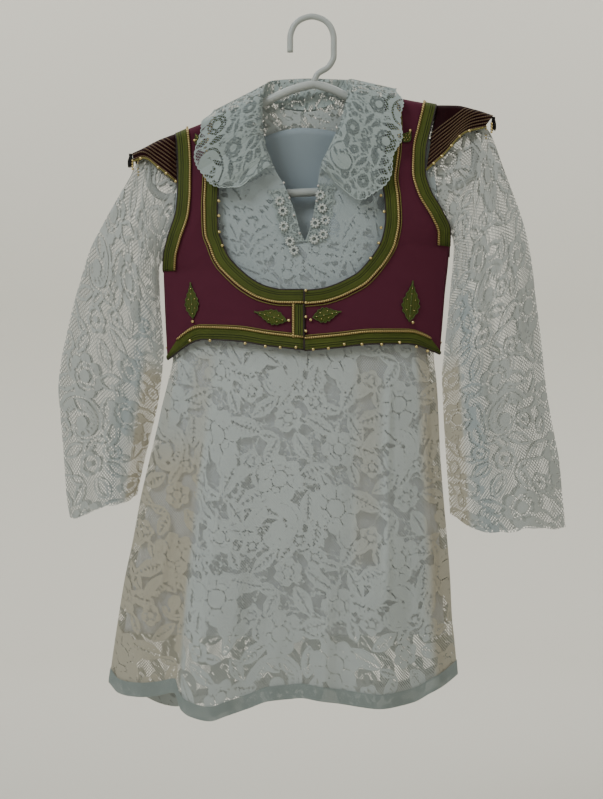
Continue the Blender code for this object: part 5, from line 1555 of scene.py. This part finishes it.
def wing_points(name, level, share):
    """Points of a wing: level from -1 at the front edge over the fold to 1 behind."""
    spec = WINGS[name]
    fold, edge = route(spec["fold"])(share), route(spec["edge"])(share)
    side = np.where(level < 0.0, -1, 1)
    flat = mix(fold, edge, np.abs(level)[..., None])
    x = flat[..., 0] + spec["side"] * BUTT * (1.0 - share)
    z = flat[..., 1]
    drop = np.abs(level) * np.linalg.norm(edge - fold, axis=-1)
    rounded = WING_DEPTH * quarter(drop / WING_ROUND) + drop * WING_SLOPE
    body = np.where(side < 0, vest_depth(x, z, -1), vest_depth(x, z, 1)) - SEAM
    depth = mix(body, rounded, smooth(share / WING_EASE))
    depth = np.where(np.abs(level) < 1e-9, 0.0, depth)
    return np.stack([x, side * depth, z], axis=-1)


def add_wings(paint):
    """Pointed wings over the shoulders, with rows of pale braid along their lower edges."""
    fine = np.linspace(0.0, 1.0, 81)
    for name, spec in WINGS.items():
        level, share = np.meshgrid(np.linspace(-1.0, 1.0, 81), np.linspace(0.0, 1.0, 41), indexing="ij")
        cloth(f"wing_{name}", wing_points(name, level, share), paint["wing"], "braid")
        height = np.linalg.norm(route(spec["edge"])(fine) - route(spec["fold"])(fine), axis=1)
        rows, edges = [], []
        for side in (-1, 1):
            for off in BRAID_START + BRAID_SPACING * np.arange(BRAIDS):
                inside = height > off + 1.0
                count = int(np.argmin(inside)) if not inside.all() else len(fine)
                if count >= 4:
                    line = wing_points(name, side * (1.0 - off / height[:count]), fine[:count])
                    rows.append(line + np.array([0.0, side * 1.0, 0.0]))
            line = wing_points(name, np.full(81, side * WING_RIM), fine)
            edges.append(line + np.array([0.0, side * 0.9, 0.0]))
        add_cords(f"wing_{name}_braids", rows, 0.7, paint["braid"], "braid")
        add_cords(f"wing_{name}_edge", edges, 1.1, paint["thin"], "gold_cord")


def add_leaves(paint):
    """Pointed ribbon leaves with a corded outline, a midrib and tiny beads."""
    lines, dots = [], []
    along = np.linspace(0.0, 1.0, 57)[:, None]
    across = np.linspace(-1.0, 1.0, 9)[None]
    for name, x_mid, z_mid, length, width, degrees in LEAVES:
        angle = math.radians(degrees)
        half = 0.54 * width * np.maximum(np.sin(math.pi * along ** 1.35) ** 1.15, 0.05)
        half = half * (1.0 + 0.10 * np.sin(along * 44.0))
        up = (0.5 - along) * length
        x = x_mid + across * half * math.cos(angle) - up * math.sin(angle)
        z = z_mid + across * half * math.sin(angle) + up * math.cos(angle)
        y = -vest_depth(x, z, -1) - LIFT - 0.3 - 0.7 * (1.0 - np.abs(across)) * np.ones_like(along)
        grid = np.stack([x, y, z], axis=2)
        cloth(name, grid, paint["green"], "ribbon", wall=RIBBON_WALL)
        high = grid - np.array([0.0, 0.7, 0.0])
        lines += [high[:, 0], high[:, -1], high[2:-2, 4]]
        dots += [tuple(high[row, column] - np.array([0.0, 0.5, 0.0])) for row, column in LEAF_DOTS]
    add_cords("leaf_outlines", lines, 0.42, paint["leaf"], "ribbon")
    add_beads("leaf_beads", dots, 0.6, paint["bead"], "gold_bead")


def add_all_beads(paint):
    """Small gold beads along the ribbons and the wings, and in strings at the tassels."""
    points = []
    for px, py in VEST_BEADS:
        x, z = from_photo(px, py)
        points.append(on_cloth((x, z), vest_y, -1, LIFT + BEAD_LIFT))
        if py > HEM_BEADS:
            points.append(on_cloth((-x, z), vest_y, 1, LIFT + BEAD_LIFT))
    for spot in WING_BEADS:
        x = from_photo(*spot)[0]
        name = "left" if x < 0.0 else "right"
        edge = np.array(WINGS[name]["edge"], dtype=float)
        share = float(np.clip((x - edge[0, 0]) / (edge[-1, 0] - edge[0, 0]), 0.0, 1.0))
        for side in (-1, 1):
            spot = wing_points(name, np.array([side * WING_RIM]), np.array([share]))[0]
            points.append((spot[0], spot[1] + side * 1.6, spot[2]))
    add_beads("gold_beads", points, 1.7, paint["bead"], "gold_bead")
    for name, x, z in TASSELS:
        away = -1.0 if x < 0.0 else 1.0
        strings = [(x + away * off, y, z - 5.0 - step * BEAD_STEP)
                   for off, y, count in BEAD_STRINGS for step in range(count)]
        add_beads(f"{name}_beads", strings, 1.35, paint["bead"], "gold_bead", 1.0)


def add_tassels(paint):
    """Dark thread tassels: a bound head and many fine strands."""
    share = np.linspace(0.0, 1.0, 7)
    ring = np.linspace(0.0, 2.0 * math.pi, 15)[:-1]
    for name, x, z in TASSELS:
        lines = []
        for k in range(STRANDS):
            reach = 0.35 + 2.6 * math.sqrt((k + 0.5) / STRANDS)
            spread = reach * (0.35 + 0.75 * smooth(share * 1.6))
            sway = 0.6 * np.sin(share * 4.0 + k)
            fall = z + 3.0 - share * (13.5 + 1.5 * math.sin(k * 1.7))
            lines.append(np.stack([x + np.cos(k * STRAND_TURN) * spread + sway * 0.5,
                                   np.sin(k * STRAND_TURN) * spread + sway * 0.3, fall], axis=1))
        for level in BINDINGS:
            across, depth = 1.75 * np.cos(ring), 1.75 * np.sin(ring)
            lines.append(np.stack([x + across, depth, np.full(14, z + level)], axis=1))
        radii = [0.36] * STRANDS + [0.45] * len(BINDINGS)
        place(f"{name}_threads", tube_mesh(lines, radii, 5), paint["thread"], "thread", [name])


def add_hanger(paint):
    """The tubular hanger and its rod hook."""
    for name, points, radius, closed, replaces in (
            ("hanger_tube", HANGER_ARMS + HANGER_ARMS[:1], TUBE_RADIUS, True, ["hanger"]),
            ("hanger_rod", HANGER_HOOK, HOOK_RADIUS, False, [])):
        line = route(points)(np.linspace(0.0, 1.0, 181 if closed else 61))
        line = np.insert(line[:-1] if closed else line, 1, 0.0, axis=1)
        place(name, tube_mesh([line], [radius], 16, closed), paint["plastic"], "plastic", replaces)


# Stage


def add_light(name, place_at, aim, size, power, colour):
    light = bpy.data.lights.new(name, "AREA")
    light.size = size
    light.energy = power
    light.color = colour
    lamp = bpy.data.objects.new(name, light)
    lamp.location = place_at
    lamp.rotation_euler = (Vector(aim) - Vector(place_at)).to_track_quat("-Z", "Y").to_euler()
    bpy.context.scene.collection.objects.link(lamp)
    return lamp


def add_room():
    """A round, pale room whose wall rises from the floor in a curve."""
    bends = np.linspace(0.1, math.pi / 2, 12)
    profile = [(0.02, FLOOR), (ROOM_FLOOR, FLOOR)]
    profile += [(ROOM_FLOOR + ROOM_BEND * math.sin(a), FLOOR + ROOM_BEND - ROOM_BEND * math.cos(a))
                for a in bends]
    profile += [(ROOM_FLOOR + ROOM_BEND, ROOM_TOP)]
    turns = np.linspace(0.0, 2.0 * math.pi, ROOM_SIDES + 1)[:-1]
    points = [(r * math.cos(a), r * math.sin(a), z) for a in turns for r, z in profile]
    count = len(profile)
    faces = []
    for k in range(ROOM_SIDES):
        low, high = k * count, (k + 1) % ROOM_SIDES * count
        faces += [(low + i, high + i, high + i + 1, low + i + 1) for i in range(count - 1)]
    faces.append(tuple(k * count for k in range(ROOM_SIDES))[::-1])
    mesh = bpy.data.meshes.new("room")
    mesh.from_pydata(points, [], faces)
    face_out(mesh)
    mesh.shade_smooth()
    paint, _, shader = start_material("pale wall", 0.95, specular=0.1)
    shader["Base Color"].default_value = (*ROOM_COLOUR, 1.0)
    mesh.materials.append(paint)
    room = bpy.data.objects.new("room", mesh)
    bpy.context.scene.collection.objects.link(room)
    return room


def add_stage():
    """The room, soft lights, and the camera before the costume."""
    room = add_room()
    world = bpy.data.worlds.new("soft light")
    world.use_nodes = True
    back = world.node_tree.nodes["Background"]
    back.inputs[0].default_value = (0.95, 0.97, 1.0, 1.0)
    back.inputs[1].default_value = 0.62
    bpy.context.scene.world = world
    lights = [add_light(*row) for row in LIGHTS]
    lens = bpy.data.cameras.new("camera")
    lens.lens = CAMERA_LENS
    lens.sensor_width = 36.0
    camera = bpy.data.objects.new("camera", lens)
    camera.location = CAMERA_PLACE
    camera.rotation_euler = (math.radians(90.0), 0.0, 0.0)
    bpy.context.scene.collection.objects.link(camera)
    bpy.context.scene.camera = camera


# The add-on's settings, buttons and panel


class CostumeSettings(bpy.types.PropertyGroup):
    """What can be changed about the costume."""
    # The lace's default is a grey white: its own white, darkened in part as painted shade.
    lace_colour: FloatVectorProperty(
        name="Lace colour", description="Colour of the lace's close stitches",
        subtype="COLOR", size=3, min=0.0, max=1.0, default=(0.50, 0.52, 0.485))
    satin_colour: FloatVectorProperty(
        name="Satin colour", description="Colour of the waistcoat's satin",
        subtype="COLOR", size=3, min=0.0, max=1.0, default=(0.014, 0.0002, 0.0036))
    ribbon_colour: FloatVectorProperty(
        name="Ribbon colour", description="Colour of the ribbons and leaves",
        subtype="COLOR", size=3, min=0.0, max=1.0, default=(0.050, 0.062, 0.008))
    net_pitch: FloatProperty(
        name="Net pitch", description="Distance between the lace net's threads, in millimetres",
        default=2.7, min=1.5, max=6.0)
    net_thread: FloatProperty(
        name="Net thread", description="Width of the lace net's threads, in millimetres",
        default=0.66, min=0.2, max=1.5)


class CostumeOperator:
    """What the costume's buttons share: each calls its makers with every material."""
    bl_options = {"REGISTER", "UNDO"}

    def execute(self, context):
        before = len(bpy.data.objects)
        paint = materials(context.scene.costume)
        for maker in self.makers:
            maker(paint)
        if len(bpy.data.objects) <= before:
            raise RuntimeError(f"{self.bl_label} made nothing")
        return {"FINISHED"}


class COSTUME_OT_hanger(CostumeOperator, bpy.types.Operator):
    """Build the hanger."""
    bl_idname = "costume.hanger"
    bl_label = "Hanger"
    makers = (add_hanger,)


class COSTUME_OT_dress(CostumeOperator, bpy.types.Operator):
    """Build the lining and the lace dress with its hem bands and slit."""
    bl_idname = "costume.dress"
    bl_label = "Dress"
    makers = (add_lining, add_dress, add_slit_flowers)


class COSTUME_OT_sleeves(CostumeOperator, bpy.types.Operator):
    """Build both lace sleeves."""
    bl_idname = "costume.sleeves"
    bl_label = "Sleeves"
    makers = (add_sleeves,)


class COSTUME_OT_collar(CostumeOperator, bpy.types.Operator):
    """Build the folded lace collar."""
    bl_idname = "costume.collar"
    bl_label = "Collar"
    makers = (add_collar,)


class COSTUME_OT_waistcoat(CostumeOperator, bpy.types.Operator):
    """Build the waistcoat with its ribbons, cords and leaves."""
    bl_idname = "costume.waistcoat"
    bl_label = "Waistcoat"
    makers = (add_waistcoat, add_leaves)


class COSTUME_OT_wings(CostumeOperator, bpy.types.Operator):
    """Build the wings and their tassels."""
    bl_idname = "costume.wings"
    bl_label = "Wings"
    makers = (add_wings, add_tassels)


class COSTUME_OT_beads(CostumeOperator, bpy.types.Operator):
    """Set the gold beads."""
    bl_idname = "costume.beads"
    bl_label = "Beads"
    makers = (add_all_beads,)


class COSTUME_OT_stage(bpy.types.Operator):
    """Set up the room, the lights and the camera."""
    bl_idname = "costume.stage"
    bl_label = "Stage"

    def execute(self, context):
        add_stage()
        if context.scene.camera is None:
            raise RuntimeError("The stage has no camera")
        return {"FINISHED"}


class COSTUME_PT_panel(bpy.types.Panel):
    """The costume's settings and buttons."""
    bl_label = "Folk Costume"
    bl_idname = "COSTUME_PT_panel"
    bl_space_type = "VIEW_3D"
    bl_region_type = "UI"
    bl_category = "Costume"

    def draw(self, context):
        settings = context.scene.costume
        for name in ("lace_colour", "satin_colour", "ribbon_colour", "net_pitch", "net_thread"):
            self.layout.prop(settings, name)
        for operator in OPERATORS:
            self.layout.operator(operator.bl_idname)


OPERATORS = (COSTUME_OT_hanger, COSTUME_OT_dress, COSTUME_OT_sleeves, COSTUME_OT_collar,
             COSTUME_OT_waistcoat, COSTUME_OT_wings, COSTUME_OT_beads, COSTUME_OT_stage)


def register():
    for part in (CostumeSettings, *OPERATORS, COSTUME_PT_panel):
        bpy.utils.register_class(part)
    bpy.types.Scene.costume = PointerProperty(type=CostumeSettings)


def unregister():
    del bpy.types.Scene.costume
    for part in (COSTUME_PT_panel, *OPERATORS[::-1], CostumeSettings):
        bpy.utils.unregister_class(part)


def main():
    register()
    bpy.ops.costume.hanger()
    bpy.ops.costume.dress()
    bpy.ops.costume.sleeves()
    bpy.ops.costume.collar()
    bpy.ops.costume.waistcoat()
    bpy.ops.costume.wings()
    bpy.ops.costume.beads()
    bpy.ops.costume.stage()


if __name__ == "__main__":
    main()
